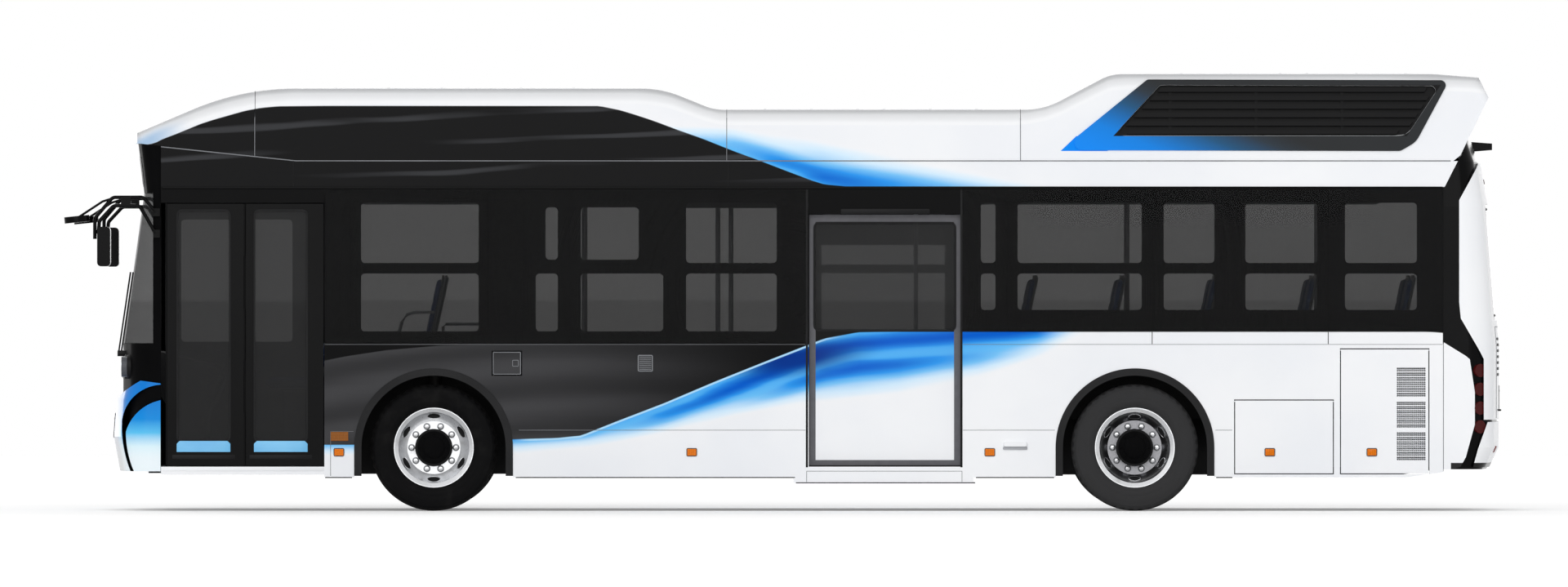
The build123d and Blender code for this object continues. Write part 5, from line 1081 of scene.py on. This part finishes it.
# Seats: padded cushions and backs on moulded shells. Rows: station of the back's foot, cushion level, floor level,
# inner and outer edge from the middle of the bus, side. Millimetres.
SEAT_ROWS = [(1560, 560, 500, 440, 900, 1), (5450, 335, 335, 640, 1090, 1)]
for sign in (-1, 1):
    SEAT_ROWS += [(2383, 755, 1066, 640, 1090, sign), (3850, 335, 335, 640, 1090, sign),
                  (4650, 335, 335, 640, 1090, sign), (6870, 755, 755, 345, 1090, sign),
                  (7534, 755, 1066, 345, 1150, sign), (8244, 755, 1066, 345, 1150, sign),
                  (8984, 755, 755, 345, 1150, sign), (9725, 755, 755, 345, 1150, sign)]
SHELL = [(-428, 347), (-62, 350), (10, 367), (149, 1008), (133, 1012), (-7, 381), (-68, 366), (-428, 363)]
BACK_LEAN = math.atan2(128.0, 608.0)
SEAT_MARGIN = 0.016
PAD_HALF = 0.190
BLOWN_HALF = 0.197
PAD_VOXEL = 0.015
PAD_PRESSURE = 4.0
PAD_FRAMES = 20
SEAM_REACH = 0.014
SEAM_DEPTH = 0.22
# The grip on a back: (metres behind the back's foot, share of the half width, metres above the grip's feet)
GRIP = [(0.128, -0.5, -0.020), (0.132, -0.5, 0.020), (0.132, -0.4, 0.034), (0.132, 0.4, 0.034), (0.132, 0.5, 0.020),
        (0.128, 0.5, -0.020)]


def swollen(half_x, half_y, half_z, cap, seam_z=None):
    """A pad of that half size about the origin, blown up by cloth pressure by up to cap, then sewn at seam_z."""
    start = bmesh.new()
    bmesh.ops.create_cube(start, size=2.0, matrix=Matrix.Diagonal((half_x, half_y, half_z, 1.0)))
    bmesh.ops.bevel(start, geom=start.edges[:], offset=min(half_x, half_y, half_z) * 0.55, segments=3, affect="EDGES")
    data = bpy.data.meshes.new("pad_blank")
    start.to_mesh(data)
    start.free()
    scene = bpy.context.scene
    blank = bpy.data.objects.new("pad_blank", data)
    scene.collection.objects.link(blank)
    voxels = blank.modifiers.new("voxels", "REMESH")
    voxels.voxel_size = PAD_VOXEL
    view = bpy.context.evaluated_depsgraph_get()
    fine = bpy.data.meshes.new_from_object(blank.evaluated_get(view))
    rest = [vertex.co.copy() for vertex in fine.vertices]
    bpy.data.objects.remove(blank)
    bag = bpy.data.objects.new("pad_bag", fine)
    scene.collection.objects.link(bag)
    cloth = bag.modifiers.new("swell", "CLOTH")
    cloth.settings.use_pressure = True
    cloth.settings.uniform_pressure_force = PAD_PRESSURE
    cloth.settings.effector_weights.gravity = 0.0
    for step in range(1, PAD_FRAMES + 1):
        scene.frame_set(step)
    blown = bpy.data.meshes.new_from_object(bag.evaluated_get(bpy.context.evaluated_depsgraph_get()))
    for vertex, first in zip(blown.vertices, rest):
        move = vertex.co - first
        if move.length > cap:
            move *= cap / move.length
        vertex.co = first + move
    bpy.data.objects.remove(bag)
    scene.frame_set(1)
    fine = blown
    if seam_z is not None:
        for vertex in fine.vertices:
            dip = math.exp(-((vertex.co.z - seam_z) / SEAM_REACH) ** 2)
            vertex.co.x *= 1.0 - SEAM_DEPTH * dip
    return fine


def seat_places():
    """(x, cushion level, middle y, half width, floor level) of every single seat, in metres."""
    for station, cushion, floor, inner, outer, sign in SEAT_ROWS:
        count = 2 if outer - inner > 600 else 1
        wide = (outer - inner) / count
        for index in range(count):
            middle = sign * (inner + wide * (index + 0.5)) / 1000.0
            yield at(station), cushion / 1000.0, middle, wide / 2000.0, floor / 1000.0


def scatter(name, pads):
    """Pads given as (mesh, matrix) rows, joined as one padded piece."""
    stock = Stock()
    for data, matrix in pads:
        first = len(stock.mesh.verts)
        stock.mesh.from_mesh(data)
        stock.mesh.verts.ensure_lookup_table()
        bmesh.ops.transform(stock.mesh, matrix=matrix, verts=stock.mesh.verts[first:])
    made = piece(name, stock, CLOTH, "body", smooth=80.0)
    return made


cushion_pad = swollen(0.180, PAD_HALF, 0.034, 0.008)
back_pad = swollen(0.016, PAD_HALF, 0.285, 0.006, seam_z=0.10)
cushions, backs = [], []
shells, feet, piping, grips = Stock(), Stock(), Stock(), Stock()
for seat_x, seat_z, seat_y, half, floor_z in seat_places():
    fit = Matrix.Diagonal((1.0, (half - SEAT_MARGIN) / BLOWN_HALF, 1.0, 1.0))
    cushions.append((cushion_pad, Matrix.Translation((seat_x - 0.240, seat_y, seat_z + 0.402)) @ fit))
    lean = Matrix.Rotation(BACK_LEAN, 4, "Y")
    backs.append((back_pad, Matrix.Translation((seat_x + 0.050, seat_y, seat_z + 0.722)) @ lean @ fit))
    low_y, high_y = seat_y - half + 0.006, seat_y + half - 0.006
    shells.loft([[(seat_x + dx / 1000.0, y, seat_z + dz / 1000.0) for dx, dz in SHELL] for y in (low_y, high_y)])
    feet.box((seat_x - 0.290, seat_y - 0.06, floor_z), (seat_x - 0.070, seat_y + 0.06, seat_z + 0.349), 0.010)
    edge = rounded(seat_x - 0.420, seat_y - half + SEAT_MARGIN, seat_x - 0.060, seat_y + half - SEAT_MARGIN, 0.05, 4)
    piping.tube([(x, y, seat_z + 0.402) for x, y in edge + edge[:1]], 0.004, 6)
    top = seat_z + 0.985
    grips.tube([(seat_x + back, seat_y + half * share, top + rise) for back, share, rise in GRIP], 0.010)
seat_shells = piece("seat_shells", shells, SEAT_SHELL, "body", bevel=0.004)
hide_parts("seats")
piece("seat_feet", feet, CAST_IRON, "body")
piece("seat_piping", piping, RUBBER, "body")
piece("seat_grips", grips, RAIL, "body")
scatter("seat_cushions", cushions)
scatter("seat_backs", backs)

# Cabin: poles, arm rails and ceiling lights
poles = Stock()
for x, y in ((-0.500, -0.60), (-0.500, 0.60)):
    poles.tube([(x, y, 0.337), (x, y, 1.4), (x, y, CEILING - 0.002)], 0.017, 12)
    poles.turned([(0.336, 0.045), (0.341, 0.045), (0.349, 0.022), (0.349, 0.0)], (x, y, 0.0), "Z", 16, closed=False)
for y in (-0.655, -1.075):
    poles.tube([(-2.935, y, 1.120), (-2.915, y, 1.340), (-2.890, y, 1.430), (-2.850, y, 1.485), (-2.790, y, 1.502),
                (-2.640, y, 1.502)], 0.011, 10)
poles.tube([(-2.585, -0.660, 1.060), (-2.580, -0.660, 1.395), (-2.560, -0.660, 1.412), (-2.310, -0.660, 1.412),
            (-2.290, -0.660, 1.395), (-2.285, -0.660, 1.060)], 0.012, 10)
piece("cabin_poles", poles, RAIL, "body")
cabin_lights = Stock()
for y in (-0.62, 0.62):
    for start in range(1800, 9600, 1300):
        cabin_lights.box((at(start), y - 0.06, CEILING - 0.030), (at(start + 1150), y + 0.06, CEILING + 0.002), 0.012)
piece("cabin_lights", cabin_lights, BLANK, "body")


# Studio: pale floor, soft light and the side-on camera

def studio():
    """Sets the air, four soft lamps, the floor and the camera."""
    scene = bpy.context.scene
    scene.view_settings.view_transform = "Standard"
    world = bpy.data.worlds.new("studio_air")
    world.use_nodes = True
    scene.world = world
    air = Finish("studio_air", world)
    dim = air.node("Background", {}, {"Color": (1.0, 1.0, 1.0, 1.0), "Strength": 0.48})
    bright = air.node("Background", {}, {"Color": (1.0, 1.0, 1.0, 1.0), "Strength": 1.0})
    air.node("OutputWorld", {}, {"Surface": air.node("MixShader", {}, {0: air.looked_at(), 1: dim, 2: bright})})

    for name, strength, turn in (("key_light", 1.30, (64.0, 0.0, -8.0)), ("fill_light", 0.95, (-62.0, 0.0, 8.0)),
                                 ("nose_light", 0.30, (0.0, 58.0, 180.0)), ("tail_light", 0.16, (0.0, 58.0, 0.0))):
        lamp = bpy.data.lights.new(name, "SUN")
        lamp.energy = strength
        lamp.angle = math.radians(60.0)
        holder = bpy.data.objects.new(name, lamp)
        holder.rotation_euler = [math.radians(value) for value in turn]
        scene.collection.objects.link(holder)

    ground = Stock()
    reach = 60.0
    ground.mesh.faces.new(ground.loop([(-reach, -reach, 0.0), (reach, -reach, 0.0), (reach, reach, 0.0),
                                       (-reach, reach, 0.0)]))
    data = bpy.data.meshes.new("floor")
    ground.mesh.to_mesh(data)
    ground.mesh.free()
    f = Finish("studio_floor")
    speckle = f.noise(0.4)
    lift = f.mix(f.looked_at(), (0.0, 0.0, 0.0, 1.0), (0.22, 0.22, 0.22, 1.0))
    data.materials.append(f.close(f.mix(speckle, (0.92, 0.92, 0.92, 1.0), (0.94, 0.94, 0.94, 1.0)), speckle * 0.1 + 0.8,
                                  speckle, 0.0002, Specular_IOR_Level=0.0, Emission_Color=lift, Emission_Strength=1.0))
    floor = bpy.data.objects.new("floor", data)
    scene.collection.objects.link(floor)

    lens = bpy.data.cameras.new("side_camera")
    lens.lens = 560.0
    lens.sensor_width = 36.0
    lens.clip_start = 10.0
    lens.clip_end = 3000.0
    camera = bpy.data.objects.new("side_camera", lens)
    camera.location = (0.003, -185.54, 1.644)
    camera.rotation_euler = (math.radians(90.0), 0.0, 0.0)
    scene.collection.objects.link(camera)
    scene.camera = camera


studio()
